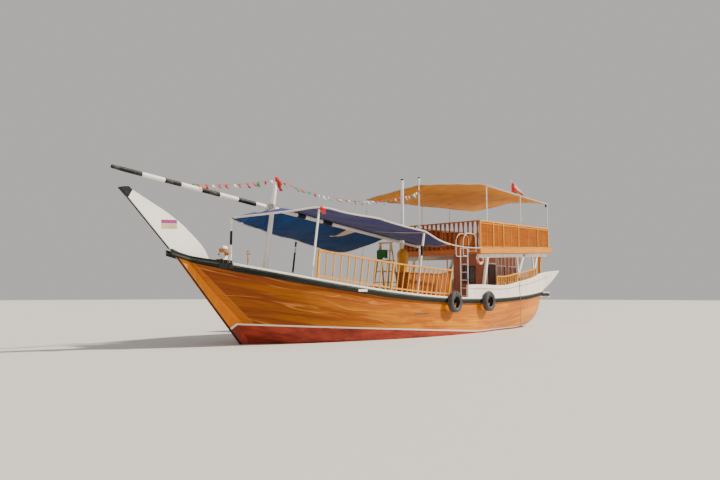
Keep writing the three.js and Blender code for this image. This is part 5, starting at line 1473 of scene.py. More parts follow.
def makeLowBalustrades(foreX, aftX, bays, rise, post, endPost):
    def spot(x, up):
        y, z = smoothRow(quarter["rows"], x, 1), smoothRow(quarter["rows"], x, 3)
        return Vector((x, y - quarter["thick"] / 2, z - 0.02 + up))

    posts = []
    shape = barAlong([(0, 0, 0), (0, 0, rise - 0.046)], post, post + 0.008, 0.005)
    for side in (1, -1):
        path = [spot(x, 0.0205) for x in spread(foreX - 0.187, aftX + 0.187, 60)]
        path = [Vector((p.x, side * p.y, p.z + 0.001)) for p in path]
        posts.append(repeatAlong("lowPosts", path, [shape], bays - 1, timberUp, ""))
    for side, label in sides:
        parts = [barAlong([spot(x, 0.0215), spot(x, rise - 0.02)], endPost, endPost, 0.006) for x in (foreX, aftX)]
        line = [spot(x, rise) for x in spread(foreX + 0.03, aftX - 0.03, 50)]
        parts.append(barAlong(line, 0.062, 0.05, 0.008))
        if side < 0:
            parts = [mirror(p) for p in parts]
        joinPiece("lowBalustrade" + label, [posts[0 if side > 0 else 1], painted("lowRail" + label, parts, timberUp)],
                  "low_balustrade_" + label.lower())
    print("railings")


makeLowBalustrades(**lowRail)

# Flat turned balusters across the fore and aft ends of the upper deck
crossRail = {"ends": [("Fore", -2.94), ("Aft", -9.69)], "half": 1.94, "count": 18, "flat": 0.62,
             "turned": [(0, 0.05), (0.05, 0.05), (0.09, 0.034), (0.13, 0.046), (0.18, 0.03), (0.3, 0.036),
                        (0.45, 0.05), (0.58, 0.044), (0.7, 0.034), (0.8, 0.036),
                        (0.84, 0.05), (0.88, 0.044), (0.92, 0.058), (1, 0.058)]}


def makeCrossBalustrades(ends, half, count, flat, turned):
    for label, x in ends:
        low, high = upperZ(x) + 0.001, railTopZ(x) - 0.05
        tall = high - low
        shape = lathe([(0, 0)] + [(r, t * tall) for t, r in turned] + [(0, tall)], (0, 0, 0), "Z", 16)
        shape["points"] = [(px * flat, py, pz) for px, py, pz in shape["points"]]
        path = [(x, lerp(half, -half, t), low) for t in (0, 0.5, 1)]
        meshes = [repeatAlong("balusters" + label, path, [shape], count, redWood, "")]
        # the top rail takes the painted-shade copy of the fascia wood
        parts = [barAlong([(x, 2.0, high + 0.025), (x, -2.0, high + 0.025)], 0.076, 0.05, 0.012, 1),
                 barAlong([(x, 1.97, low + 0.115), (x, -1.97, low + 0.115)], 0.05, 0.04, 0.01, 0)]
        meshes.append(painted("crossRails" + label, parts, redWood, fasciaShade))
        joinPiece("upperBalustrade" + label, meshes, "upper_balustrade_" + label.lower(), 50)
    print("balustrades")


makeCrossBalustrades(**crossRail)

# The upper deck: planks laid fore and aft, a deep fascia with a bead, and white beams below
def makeUpperDeck(fore, aft, half, slab, fascia, board, planks, slope):
    def line(x, y, drop):
        return Vector((x, y, upperZ(x) - drop))

    inner = half - board
    wide = 2 * inner / planks
    long = fore - aft - 2 * board
    rise = slope * long / 2
    plank = barAlong([(long / 2, 0, -rise), (-long / 2, 0, rise)], wide - 0.005, 0.03, 0.003)
    middle = (fore + aft) / 2
    path = [(middle, lerp(-inner + wide / 2, inner - wide / 2, t), upperZ(middle) - 0.0162) for t in (0, 0.5, 1)]
    plankMesh = repeatAlong("upperPlanks", path, [plank], planks, upperPlanks, "")
    foreIn, aftIn = fore - board - 0.0005, aft + board + 0.0005
    parts = [loft([[line(x, s * inner * 0.9995, d) for s, d in ((-1, 0.034), (1, 0.034), (1, slab), (-1, slab))]
                   for x in (foreIn, aftIn)], 2)]
    for side in (1, -1):
        y = side * (half - board / 2)
        deep = fascia - 0.03
        # the lower bead takes the painted-shade copy of the fascia wood
        for drop, wideBoard, high, soft, paint in ((0.03 + deep / 2, board - 0.012, deep, 0.005, 0),
                                                   (0.0155, board, 0.03, 0.009, 0),
                                                   (fascia - 0.0155, board, 0.03, 0.009, 1)):
            parts.append(barAlong([line(fore, y, drop), line(aft, y, drop)], wideBoard, high, soft, paint))
    # the fore end board and its bead take the painted-shade copy of the fascia wood
    for x, paint in ((fore - 0.03, 1), (aft + 0.03, 0)):
        z = upperZ(x)
        for down, thick, high, soft in ((0.03 + 0.105, 0.05, 0.21, 0.006), (0.0155, 0.06, 0.03, 0.009)):
            parts.append(barAlong([(x, inner, z - down), (x, -inner, z - down)], thick, high, soft, paint))
    joinPiece("upperDeck", [plankMesh, painted("upperFascia", parts, fasciaSide, fasciaShade, whiteBoard)],
              "upper_deck", 40)


makeUpperDeck(**upperDeck)

# Shelter frames: leaning posts, a beam under the upper deck and a brace on each post but the foremost
shelter = {"posts": [(-3.29, -3.81, 1.9), (-5.92, -7.23, 1.895), (-7.76, -8.79, 1.85)], "beamY": 1.9, "wide": 0.11,
           "deep": 0.125, "beam": 0.165, "ends": (-3.02, -9.7), "brace": 0.07, "braceAt": 0.55}


def makeShelters(posts, beamY, wide, deep, beam, ends, brace, braceAt):
    parts = []
    for drop, across, high, soft in ((beam / 2 + 0.155, 0.1, beam, 0.01), (0.08, 0.05, 0.16, 0.004)):
        parts.append(barAlong([(x, beamY, underDeckZ(x) - drop) for x in ends], across, high, soft))
    for k, (footX, headX, y) in enumerate(posts):
        foot = Vector((footX + 0.02, y, deckZ(footX) + 0.004))
        head = Vector((headX, y, underDeckZ(headX) - 0.16))
        parts.append(barAlong([foot, head], wide, deep, 0.012))
        if k:
            x = lerp(footX, headX, braceAt)
            z = lerp(deckZ(footX), underDeckZ(headX), braceAt)
            parts.append(barAlong([(x, y, z), (x + 0.06, y, underDeckZ(x) - 0.16)], brace, brace, 0.008))
    makePair("shelterFrame", "shelter_frame", parts, whiteBoard, "white_paint")
    print("shelter frames")


makeShelters(**shelter)

# Deckhouse: trims, panes and corner boards on its walls, and two panelled doors
house = {"fore": -5.5, "aft": -9.0, "wallY": 0.85, "windows": [(-7.05, 0.38), (-8.15, 0.38)], "sill": 2.15,
         "lintel": 2.85, "foreWindow": (0.28, 2.1, 2.8), "aftWindows": (-0.38, 0.38),
         "trim": 0.055, "proud": 0.014, "pane": 0.008}


def frameAround(a, b, low, high, flat, at, face, paint=0):
    # a flat trim round an opening; flat is the axis that the wall runs along
    w, p = house["trim"], house["proud"]
    parts = []
    for u0, u1, z0, z1 in ((a - w, a, low - w, high + w), (b, b + w, low - w, high + w), (a, b, high, high + w),
                           (a, b, low - w, low)):
        near, far = sorted((at + face * 0.0006, at + face * p))
        lowPoint, highPoint = ((u0, near, z0), (u1, far, z1)) if flat == "X" else ((near, u0, z0), (far, u1, z1))
        parts.append(brick(lowPoint, highPoint, paint))
    return parts


def makeHouse(fore, aft, wallY, windows, sill, lintel, foreWindow, aftWindows, trim, proud, pane):
    trims, panes, dark = [], [], []
    for side in (1, -1):
        at = side * wallY
        for x, half in windows:
            trims += frameAround(x - half, x + half, sill, lintel, "X", at, side)
            y0, y1 = sorted((side * (wallY - 0.028), side * (wallY - 0.028 - pane)))
            z0, z1 = sill + 0.001, lintel - 0.001
            panes.append(brick((x - half + 0.001, y0, z0), (x + half - 0.001, y1, z1)))
            trims.append(brick((x - 0.022, y1 + 0.0005, z0), (x + 0.022, y1 + 0.02, z1)) if side > 0
                         else brick((x - 0.022, y0 - 0.02, z0), (x + 0.022, y0 - 0.0005, z1)))
        # jambs beside the doorway, and corner boards
        y0, y1 = sorted((at + side * 0.0006, at + side * proud))
        for x in (-5.665, -6.515, -8.965):
            trims.append(brick((x - 0.032, y0, deckZ(x) + 0.01), (x + 0.032, y1, upperZ(x) - 0.2)))
        trims.append(brick((-6.483, y0, 2.925), (-5.697, y1, 2.985)))
        # posts painted white between the panes, from the deck to the ceiling
        for x, wide in ((-6.7, 0.055), (-7.05, 0.045), (-7.4, 0.055), (-7.8, 0.055), (-8.15, 0.045), (-8.5, 0.055)):
            for z0, z1 in ((deckZ(x) + 0.01, sill - trim - 0.002), (lintel + trim + 0.002, upperZ(x) - 0.2)):
                trims.append(brick((x - wide / 2, y0, z0), (x + wide / 2, y1, z1)))
    half, low, high = foreWindow
    trims += frameAround(-half, half, low, high, "Y", fore, 1, 1)
    dark.append(brick((fore - 0.034, -half + 0.001, low + 0.001), (fore - 0.026, half - 0.001, high - 0.001)))
    trims.append(brick((fore - 0.0255, -0.014, low + 0.001), (fore - 0.012, 0.014, high - 0.001), 1))
    for y in aftWindows:
        trims += frameAround(y - 0.2, y + 0.2, 2.15, 2.8, "Y", aft, -1)
    makePiece("houseTrims", trims, [whiteBoard, doorWood], None, "white_paint", bevel=0.003)
    makePiece("housePanes", panes, curtainGlass, None, "dark_timber", bevel=0.0015)
    makePiece("foreHousePane", dark, darkGlass, None, "dark_timber", bevel=0.0015)


makeHouse(**house)

door = {"aft": -6.471, "fore": -5.723, "low": 1.14, "high": 2.906, "rail": 0.1}


def makeDoors(aft, fore, low, high, rail):
    for side, label in sides:
        parts = [brick((aft + 0.02, 0.815, low + 0.02), (fore - 0.02, 0.833, high - 0.02))]
        for x0, x1, z0, z1 in ((aft, aft + rail, low, high), (fore - rail, fore, low, high),
                               (aft + rail, fore - rail, low, low + 0.16),
                               (aft + rail, fore - rail, high - rail, high), (aft + rail, fore - rail, 1.98, 2.09)):
            parts.append(brick((x0, 0.8055, z0), (x1, 0.8435, z1)))
        for z0, z1 in ((low + 0.2, 1.94), (2.13, high - rail - 0.04)):
            parts.append(brick((aft + rail + 0.05, 0.809, z0), (fore - rail - 0.05, 0.84, z1)))
        handle = [lathe([(0, 0.8436), (0.022, 0.8436), (0.022, 0.847), (0.008, 0.849), (0.008, 0.862),
                         (0.02, 0.868), (0.023, 0.878), (0.015, 0.888), (0,
                                                                         0.889)], (aft + 0.055, 0, 2.03), "Y", 20, 1)]
        if side < 0:
            parts, handle = [mirror(p) for p in parts], [mirror(p) for p in handle]
        makePiece("houseDoor" + label, parts + handle, [doorWood, bronze], "house_door_" + label.lower(),
                  "dark_timber", "door_" + label.lower(), bevel=0.004)
    print("deckhouse")


makeDoors(**door)

# Ladder with two hooped rails, up to the fore edge of the upper deck
ladder = {"atX": -2.2, "ys": (1.545, 1.885), "top": 3.43, "first": 1.455, "step": 0.325, "railR": 0.02,
          "rungR": 0.015, "hoopR": 0.014,
          "route": [(-2.2, 3.08), (-1.925, 3.085), (-1.865, 3.15), (-1.865, 3.64), (-1.935, 3.85), (-2.095, 3.985),
                    (-2.295, 4.03), (-2.658, 4.02), (-2.818, 3.93), (-2.878, 3.74), (-2.878, 3.29)]}


def makeLadder(atX, ys, top, first, step, railR, rungR, hoopR, route):
    y0, y1 = ys
    parts = []
    for y in ys:
        parts.append(tube([(atX, y, deckZ(atX) + 0.001), (atX, y, top)], railR, 14))
        parts.append(lathe([(0, 0.001), (0.045, 0.001), (0.045, 0.009), (0.024, 0.014), (0, 0.014)],
                           (atX, y, deckZ(atX)), "Z", 20))
        parts.append(tube([(p.x, y, p.y) for p in curveThrough([(x, z, 0) for x, z in route], 6)], hoopR, 12))
        parts.append(barAlong([(-2.878, y, 3.33), (-2.9002, y, 3.33)], 0.05, 0.06, 0.005))
    parts.append(tube([(-2.878, y0, 3.33), (-2.878, y1, 3.33)], 0.012, 12))
    rung = tube([(0, y0 - y1, 0), (0, 0, 0)], rungR, 10)
    count = int((top - first) / step) + 1
    path = [(atX, y1, first + step * (count - 1) * t) for t in (0, 0.5, 1)]
    rungs = repeatAlong("rungs", path, [rung], count, pipePaint, "")
    joinPiece("upperDeckLadder", [painted("ladderTubes", parts, pipePaint), rungs], "upper_deck_ladder",
              50)


makeLadder(**ladder)

# Boarding platform over the stern, and the columns that carry the upper deck's corners
platformForm = {"fore": -9.42, "aft": -10.48, "half": 1.7, "low": 1.4, "top": 1.66, "deep": 0.055, "gap": 0.035,
                "count": 8}


def makePlatform(fore, aft, half, low, top, deep, gap, count):
    parts = []
    # the bearers under the slats and the two plates down to the transom are painted black, as painted shade seen
    # through the gaps
    for y in (-half + 0.06, -0.56, 0.56, half - 0.06):
        parts.append(brick((aft + 0.02, y - 0.06, low + deep + 0.0005), (fore - 0.001, y + 0.06, top - deep - 0.0005),
                           1))
    for y in (-0.56, 0.56):
        parts.append(plateXZ([(-9.48, 1.5955), (transomX(1.5955) - 0.002, 1.5955), (transomX(1.402) - 0.002, 1.402),
                              (-9.48, 1.402)], y - 0.06, y + 0.06, 1))
    for x in (aft, fore - 0.11):
        parts.append(brick((x, -half, low), (x + 0.11, half, low + deep), 0))
    wide = (fore - aft - gap * (count - 1)) / count
    slat = barAlong([(0, -half, 0), (0, half, 0)], wide, deep, 0.007)
    path = [(lerp(aft + wide / 2, fore - wide / 2, t), 0, top - deep / 2) for t in (0, 0.5, 1)]
    slats = repeatAlong("platformSlats", path, [slat], count, whiteBoard, "")
    joinPiece("sternPlatform", [slats, painted("platformFrame", parts, whiteBoard, blackBoard)], "stern_platform",
              40)
    for side, label in sides:
        y = side * 1.6
        column = [barAlong([(-9.6, y, top + 0.0008), (-9.6, y, underDeckZ(-9.54) - 0.002)], 0.12, 0.12, 0.012),
                  barAlong([(-9.6, y, 3.05), (-9.885, y, underDeckZ(-9.885) - 0.06)], 0.08, 0.08, 0.01),
                  barAlong([(-9.54, y, underDeckZ(-9.54) - 0.046), (-9.935, y, underDeckZ(-9.935) - 0.046)], 0.12,
                           0.088, 0.01)]
        makePiece("sternColumn" + label, column, fasciaSide, "stern_column_" + label.lower(), "timber", sharp=40)
    print("ladder, platform and columns")


makePlatform(**platformForm)

# Tyre fenders hung on rope from the rail
tyre = {"places": [("Fore", 0.16, 2.724, 1.24), ("Aft", -2.39, 2.723, 1.25)], "outer": 0.385, "rim": 0.215,
        "wide": 0.105, "ropeR": 0.012}


def makeTyres(places, outer, rim, wide, ropeR):
    # the tread and wall from the rim out, as (radius, share of the half width), then the inside
    wall = [(rim, 0.62), (rim + 0.006, 0.74), (rim + 0.02, 0.8), (rim + 0.045, 0.9), (rim + 0.075, 0.985),
            (rim + 0.095, 1), (rim + 0.1, 0.97), (rim + 0.106, 1), (outer - 0.045, 0.97), (outer - 0.022, 0.9),
            (outer - 0.008, 0.8), (outer - 0.001, 0.68), (outer - 0.001, 0.47), (outer - 0.01, 0.45),
            (outer - 0.01, 0.39), (outer, 0.37), (outer, 0.1), (outer - 0.01, 0.08)]
    inner = [(rim + 0.012, 0.55), (rim + 0.04, 0.6), (rim + 0.09, 0.66), (outer - 0.045, 0.52)]
    profile = [(r, -wide * v) for r, v in wall] + [(r, wide * v) for r, v in wall[::-1]]
    profile += [(r, wide * v) for r, v in inner] + [(outer - 0.026, 0.0)] + [(r, -wide * v) for r, v in inner[::-1]]
    last, around = len(profile) - 1, 72
    for label, x, y, z in places:
        rings = [[(x + r * cos(a), y + v, z + r * sin(a)) for r, v in profile] for a in turns(around)]
        body = loft(rings, uv=lambda i, j: (i / around, profile[min(j, last)][1]), closed=True)
        makePiece("tyre" + label, [body], tyreRubber, "tyre_fender_" + label.lower(), "rubber", sharp=50)
        # a doubled rope: under the tread, up both faces, over the rail and down to the deck side
        edge, top = railY(x) + strakeLook["capOver"], sheerZ(x)
        parts = []
        for shift in (-0.055, 0.05):
            loop = [(0.4, edge - 0.2, top - 0.06), (0.5, edge - 0.19, top + 0.013), (0.6, edge - 0.06, top + 0.013),
                    (0.8, edge + 0.006, top + 0.008), (1, y - wide * 0.35, z + outer + 0.02),
                    (1, y + 0.02, z + outer + 0.0135), (1, y + wide + 0.006, z + outer - 0.03),
                    (1, y + wide + 0.014, z + (outer + rim) / 2), (1.2, y + wide * 0.72, z + rim + 0.01),
                    (1.2, y + wide * 0.3, z + rim - 0.012), (1, y - wide * 0.6, z + rim + 0.005)]
            parts.append(tube(curveThrough([(x + shift * k, ry, rz) for k, ry, rz in loop], 5), ropeR, 10))
        makePiece("tyreRopes" + label, parts, greyRope, None, "rope", sharp=60)
    print("tyres")


makeTyres(**tyre)

# Lifebuoy with its grab line
buoy = {"at": (-3.385, 1.7917, 3.068), "ringR": 0.24, "tubeR": 0.058}


def makeLifebuoy(at, ringR, tubeR):
    x, y, z = at
    ring = [(x + ringR * cos(a), y, z + ringR * sin(a)) for a in turns(64)]
    line = []
    for a in turns(96):
        reach = ringR + tubeR * (0.55 + 0.42 * abs(cos(2 * a)) ** 6) * 0.98
        line.append((x + reach * cos(a), y - tubeR * 0.62, z + reach * sin(a)))
    makePiece("lifebuoyRing", [tube(ring, tubeR * 0.995, 24, closed=True), tube(line, 0.006, 8, 1, closed=True)],
              [buoyFoam, whiteRope], "lifebuoy", "ring_plastic", sharp=60)


makeLifebuoy(**buoy)

# Ground tackle: grapnel, samson post, and the rope turns on the port rail
grapnelForm = {"crownAt": (8.12, 0.42), "eyeAt": (8.0, 0.26), "rise": 0.76, "ringR": 0.06, "wire": 0.013,
               "fluke": [(0, 0), (0.12, -0.004), (0.25, 0.012), (0.33, 0.07), (0.368, 0.16), (0.372, 0.25),
                         (0.345, 0.36)],
               "flukeR": [0.026, 0.024, 0.022, 0.02, 0.018, 0.014, 0.004]}


def makeGrapnel(crownAt, eyeAt, rise, ringR, wire, fluke, flukeR):
    ground = deckZ(8.12) + 0.001
    crown = Vector((*crownAt, ground + 0.026))
    eye = Vector((*eyeAt, ground + rise))
    parts = [tube([crown + Vector((0, 0, -0.022)), crown, crown.lerp(eye, 0.5), eye], [0.02, 0.03, 0.024, 0.021], 14)]
    ring = [(eye.x, eye.y + ringR * cos(a), eye.z + 0.048 + ringR * sin(a)) for a in turns(32)]
    parts.append(tube(ring, wire, 10, closed=True))
    for ux, uy in ((1, 0), (-1, 0), (0, 1), (0, -1)):
        route = [(crown.x + ux * out, crown.y + uy * out, crown.z + up) for out, up in fluke]
        path = curveThrough(route, 3)
        radii = [lerp(flukeR[min(i // 3, 6)], flukeR[min(i // 3 + 1, 6)], i % 3 / 3) for i in range(len(path))]
        parts.append(tube(path, radii, 12))
        # the flat palm near the point
        tip, back = Vector(route[5]), Vector(route[3])
        across = Vector((-uy, ux, 0)) * 0.045
        out = Vector((ux, uy, 0)) * 0.006
        palm = []
        for at, wide, near, far in ((tip, 0.15, 3, 5), (tip.lerp(back, 0.5), 1, 1.5, 4), (back, 0.4, 2, 5)):
            palm.append([at + across * (wide * s) - out * d for s, d in ((1, near), (-1, near), (-1, far), (1, far))])
        parts.append(loft(palm))
    makePiece("grapnel", parts, tanIron, "grapnel_anchor", "rust_iron", sharp=45)


makeGrapnel(**grapnelForm)

samson = {"atX": 8.72, "half": 0.09, "top": 2.96, "pinZ": 2.7125, "pinHalf": 0.25}


def makeSamsonPost(atX, half, top, pinZ, pinHalf):
    x, w = atX, half
    low = deckZ(x) + 0.002
    rings = []
    for size, z in ((w, low), (w, top - 0.12), (w, top - 0.045), (w - 0.03, top - 0.008), (w - 0.045, top)):
        e = size - 0.014
        rings.append([(x + a, b, z) for a, b in ((-size, -e), (-e, -size), (e, -size), (size, -e), (size, e),
                                                 (e, size), (-e, size), (-size, e))])
    post = loft(rings)
    pin = tube([(x, -pinHalf, pinZ), (x, -0.1, pinZ), (x, 0.1, pinZ), (x, pinHalf, pinZ)],
               [0.026, 0.032, 0.032, 0.026], 16, 1)
    turns = windAround("samsonTurns", (x, 0, 2.757), (x, 0, 2.875), 0.128, 5, 0.013, tanRope)
    crossed = windAround("pinTurns", (x, 0.1, pinZ), (x, 0.19, pinZ), 0.046, 4, 0.012, tanRope)
    joinPiece("samsonPost", [painted("samsonWood", [post, pin], whiteBoard, rustIron), turns, crossed], "samson_post",
              45)


makeSamsonPost(**samson)

railTurns = {"fore": 9.36, "aft": 9.08, "turns": 11, "rope": 0.015}


def makeRailTurns(fore, aft, turns, rope):
    # rope turned round the cap rail and strake, with its bight on top
    parts = []
    for k in range(turns):
        x = lerp(fore, aft, k / (turns - 1))
        top, low = sheerZ(x) + rope, hullTop(x) - 0.14 - rope
        outY, inY = railY(x) + strakeLook["capOver"] + rope, max(railY(x) - 0.11, 0.0805) - rope
        lift, slant = abs(sin(k * 2.3)) * 0.03, sin(k * 1.7) * 0.03
        top, outY, low = top + lift, outY + lift * 0.5, low + abs(sin(k * 3.1)) * 0.08
        path = [(x, inY, hullTop(x) - 0.02), (x, inY, top - 0.01), (x + slant * 0.4, inY + 0.02, top),
                (x - slant, outY - 0.02, top), (x - slant, outY, top - 0.015),
                (x + slant * 0.3, outY, hullTop(x) - 0.04), (x + slant, outY - 0.01, low)]
        parts.append(tube(curveThrough(path, 4), rope, 8))
    makePiece("railTurns", parts, blackRope, None, "rope", sharp=60)


makeRailTurns(**railTurns)

# Mast lashings and standing lines
lashing = {"mastLow": 4.22, "mastHigh": 4.42, "yardFore": 6.92, "yardAft": 6.58, "rope": 0.012}


def mastAt(z):
    t = (z - 1.86) / 3.4
    return Vector((lerp(7.14, 6.65, t), 0, z)), lerp(0.095, 0.065, t)


def makeLashings(mastLow, mastHigh, yardFore, yardAft, rope):
    (a, ra), (b, rb) = mastAt(mastLow), mastAt(mastHigh)
    meshes = [windAround("mastTurns", a, b, (ra + rb) / 2 + rope * 1.1, 8, rope, paleLashing)]
    fore, aft = (Vector((x, yard["y"], yardZ(x))) for x in (yardFore, yardAft))
    meshes.append(windAround("yardTurns", fore, aft, yardR(6.7) + rope * 0.9, 11, rope, paleLashing))
    # crossed turns that hold the yard to the mast
    parts = []
    middle = mastAt(4.32)[0]
    for k in range(5):
        z = 4.28 + 0.026 * k
        ring = [(middle.x + 0.112 * cos(t) * (1 + 0.05 * k), -0.073 + 0.172 * sin(t), z + 0.045 * sin(2 * t))
                for t in turns(40)]
        parts.append(tube(ring, rope * 0.9, 8, closed=True))
    meshes.append(painted("crossTurns", parts, paleLashing))
    joinPiece("mastLashing", meshes, None, 60)


makeLashings(**lashing)


def sagLine(start, end, sag, count=24):
    a, b = Vector(start), Vector(end)
    return [a.lerp(b, t) - Vector((0, 0, 4 * sag * t * (1 - t))) for t in spread(0, 1, count)]


lines = {"cross": ((1.92, yard["y"], 3.945), (1.43, 2.225, 3.752), 0.03, 0.013),
         "guy": ((-0.35, 2.19, 3.447), (-2.9, 2.102, 3.452), 0.05, 0.02),
         "buntingFore": ((10.0, yard["y"], 4.695), (6.65, 0, 5.262), 0.1, 0.004),
         "buntingAft": ((6.65, 0, 5.262), (mizzenX, 0.07, 5.5), 0.42, 0.004),
         "buntingDeck": ((mizzenX, 0.07, 5.5), (lampX, 0.036, 5.93), 0.08, 0.004)}


def makeLines(table):
    for name, (a, b, sag, radius) in table.items():
        thick = name in ("cross", "guy")
        body = tube(sagLine(a, b, sag, 40), radius, 12 if thick else 6)
        makePiece(name + "Line", [body], whiteRope if thick else greyRope, None, "rope", sharp=60)


makeLines(lines)

# Pennants on the lines, in plain red, white and green
pennants = {"rows": [("buntingFore", 13), ("buntingAft", 24), ("buntingDeck", 7)], "width": 0.12, "length": 0.15,
            "blown": 0.12}


def makePennants(rows, width, length, blown):
    chanceOf = random.Random(5)
    for name, count in rows:
        a, b, sag, _ = lines[name]
        parts, area, widths = [], 0, 0
        for k in range(count):
            share = lerp(0.04, 0.97, (k + chanceOf.uniform(0.2, 0.8)) / count)
            at = sagLine(a, b, sag, 200)[int(share * 199)]
            along = (Vector(b) - Vector(a)).normalized()
            wide = width * chanceOf.uniform(0.8, 1.25)
            long = length * chanceOf.uniform(0.75, 1.2)
            swing = Vector((-blown * chanceOf.uniform(0.3, 1.6), chanceOf.uniform(-0.06, 0.1), 0))
            colour = chanceOf.choice((0, 0, 0, 1, 2, 0, 1))

            def clothAt(t, u):
                u -= 0.5
                return (at + along * (wide * u * (1 - 0.62 * t)) + Vector((0, 0, -0.004 - long * (t - 0.15 * t * t)))
                        + swing * t * t + Vector((0, 0.022 * sin(5 * t + 4 * u + k), 0)))

            grid = clothGrid(4, 3, clothAt)
            faces = [(i * 4 + j, i * 4 + j + 1, i * 4 + j + 5, i * 4 + j + 4) for i in range(4) for j in range(3)]
            flat = [(j / 3 * wide, i / 4 * long) for i in range(5) for j in range(4)]
            corners = [[flat[v] for v in face] for face in faces]
            parts.append(makePart([p for row in grid for p in row], faces, corners, colour))
            area += wide * long * 0.69
            widths += wide
        piece = makePiece(name + "Pennants", parts, flagPaints, None, "flag_cloth", sharp=80, outward=False)
        thicken(piece, 0.002)
    print("bunting")


makePennants(**pennants)

# Crumpled flags tied to the mast head and to the fore port post
bundles = {"mastHead": {"at": (6.63, 0.0, 5.272), "wide": 0.46, "long": 0.5, "lift": 0.06, "lean": (-0.16, 0.06),
                        "paint": 0, "rest": "mastPole"},
           "portPost": {"at": (6.2, 1.555, 4.235), "wide": 0.42, "long": 0.26, "lift": 0.05, "lean": (-0.16, 0.05),
                        "paint": 1, "rest": "portPostFore"}}


def bundlePaint(name, bands):
    p = Paint(name)
    u, v, _ = p.axes(p.surface())
    ramp = p.bands(bands, p.shaped(u / 0.46 + 0.02 * p.shaped(v * 30, "SINE"), "FRACT"))
    faded = p.noise(p.surface(), 9.0, 4, 0.6)
    colour = p.mix(p.between(faded, 0.45, 0.75) * 0.3, ramp, (0.35, 0.08, 0.06))
    return p.finish(colour, p.between(faded, 0.3, 0.7, 0.75, 0.9), faded, 0.3, 0.004)


redBand, whiteBand, greenBand = (0.66, 0.022, 0.028), (0.8, 0.76, 0.7), (0.03, 0.26, 0.07)
bundleCloths = [bundlePaint("headBundle", [(0, redBand), (0.34, greenBand), (0.55, whiteBand), (0.7, redBand)]),
                bundlePaint("postBundle", [(0, redBand), (0.75, (0.8, 0.16, 0.1))])]


def makeBundles(table):
    for name, s in table.items():
        at = Vector(s["at"])
        count, rows = 48, 12

        def clothAt(t, u):
            a = 2 * pi * u
            folds = 0.35 * sin(5 * a + 1.3) + 0.2 * sin(9 * a)
            reach = (0.016 + 0.085 * sin(pi * min(1, t * 1.25 + 0.06)) + 0.02 * t) * (1 + folds * t)
            drop = s["lift"] - s["long"] * 0.86 * t + 0.03 * sin(3 * a + 2) * t
            return at + Vector((cos(a) * reach + s["lean"][0] * t ** 1.4, sin(a) * reach + s["lean"][1] * t, drop))

        grid = clothGrid(rows, count, clothAt)
        across = [[0.0] for _ in grid]
        for r, row in enumerate(grid):
            for p, q in zip(row, row[1:]):
                across[r].append(across[r][-1] + (q - p).length)
        piece, area = gridSheet(name + "Flag", grid, bundleCloths[s["paint"]], None,
                                lambda r, c: (c / count * 0.46, r / rows * s["long"]), 0.002,
                                None, "flag_cloth", 80)


makeBundles(bundles)

# The ensign droops from the flagstaff
ensignForm = {"high": 7.38, "low": 6.78, "fly": 0.48, "off": 0.016, "rows": 36, "columns": 22, "reach": 0.45,
              "topDrop": 0.56, "lowDrop": 0.19}


def makeEnsign(high, low, fly, off, rows, columns, reach, topDrop, lowDrop):
    staffFoot = railTopZ(-9.69) + 0.0003

    def staffX(z):
        return lerp(-9.69, -9.91, (z - staffFoot) / (7.52 - staffFoot))

    def clothAt(t, s):
        z0 = lerp(high, low, s)
        drop = lerp(topDrop * t ** 1.15, lowDrop * t, s)
        wave = 0.03 * sin(t * 6) + 0.02 * sin(9 * t + 5 * s) * t
        return staffX(z0) - off - t * reach + 0.012 * sin(7 * s + 5 * t) * t, fly * t + wave, z0 - drop

    grid = clothGrid(rows, columns, clothAt)
    piece, area = gridSheet("ensignCloth", grid, ensignCloth, None,
                            lambda r, c: (r / rows * 0.85, c / columns * 0.6), 0.002, "ensign", "flag_cloth", 80)
    ties = [tube([(staffX(z) + 0.018 * cos(a), 0.018 * sin(a), z + 0.002 * k)
                  for k, a in enumerate(spread(0, 4.2 * pi, 30))], 0.003, 6) for z in (high - 0.01, low + 0.01)]
    toggles = makePiece("ensignTies", ties, whiteRope, sharp=60)
    print("ensign", round(area, 3))


makeEnsign(**ensignForm)

# A loose flap of canvas on the yard, and a green cloth over the step ladder
flap = {"a": (2.35, -0.16, 3.885), "b": (2.9, -0.16, 3.93), "tip": (3.8, -0.24, 3.6)}


def makeCloths(a, b, tip):
    a, b, tip = Vector(a), Vector(b), Vector(tip)

    def flapAt(t, u):
        p = a.lerp(tip, t).lerp(b.lerp(tip, t), u) if t < 1 else tip + (b - a) * 0.02 * (u - 0.5)
        return p + Vector((0, -0.03 * sin(pi * t), -0.06 * sin(pi * t) + 0.02 * sin(6 * u + 8 * t) * t))

    def coverAt(down, u):
        t = down * 2 - 1
        full = min(1, abs(t) * 6)
        drop = max(0, abs(t) - 0.12) * 0.36 * (1 + 0.12 * sin(7 * u))
        return (1.357 + copysign(full * 0.052, t) + 0.012 * sin(9 * u + 3 * t) * abs(t), lerp(0.02, 0.46, u),
                3.206 + 0.018 * (1 - full) - drop)

    grid = clothGrid(14, 8, flapAt)
    piece, area = gridSheet("canvasFlap", grid, canvas, None, lambda r, c: (c / 8 * 0.55, r / 14 * 1.3), 0.003, None,
                            "buff_cloth", 80)
    grid = clothGrid(24, 16, coverAt)
    piece, area = gridSheet("greenCover", grid, greenCloth, None, lambda r, c: (c / 16 * 0.44, r / 24 * 0.72), 0.003,
                            None, "blue_cloth", 80)
    print("small cloths")


# The folding step ladder and the locker on the port side deck
steps = {"top": (1.23, 3.5), "ys": (0.06, 0.56), "footOut": 0.42, "treads": (0.16, 0.34, 0.52, 0.7, 0.86)}


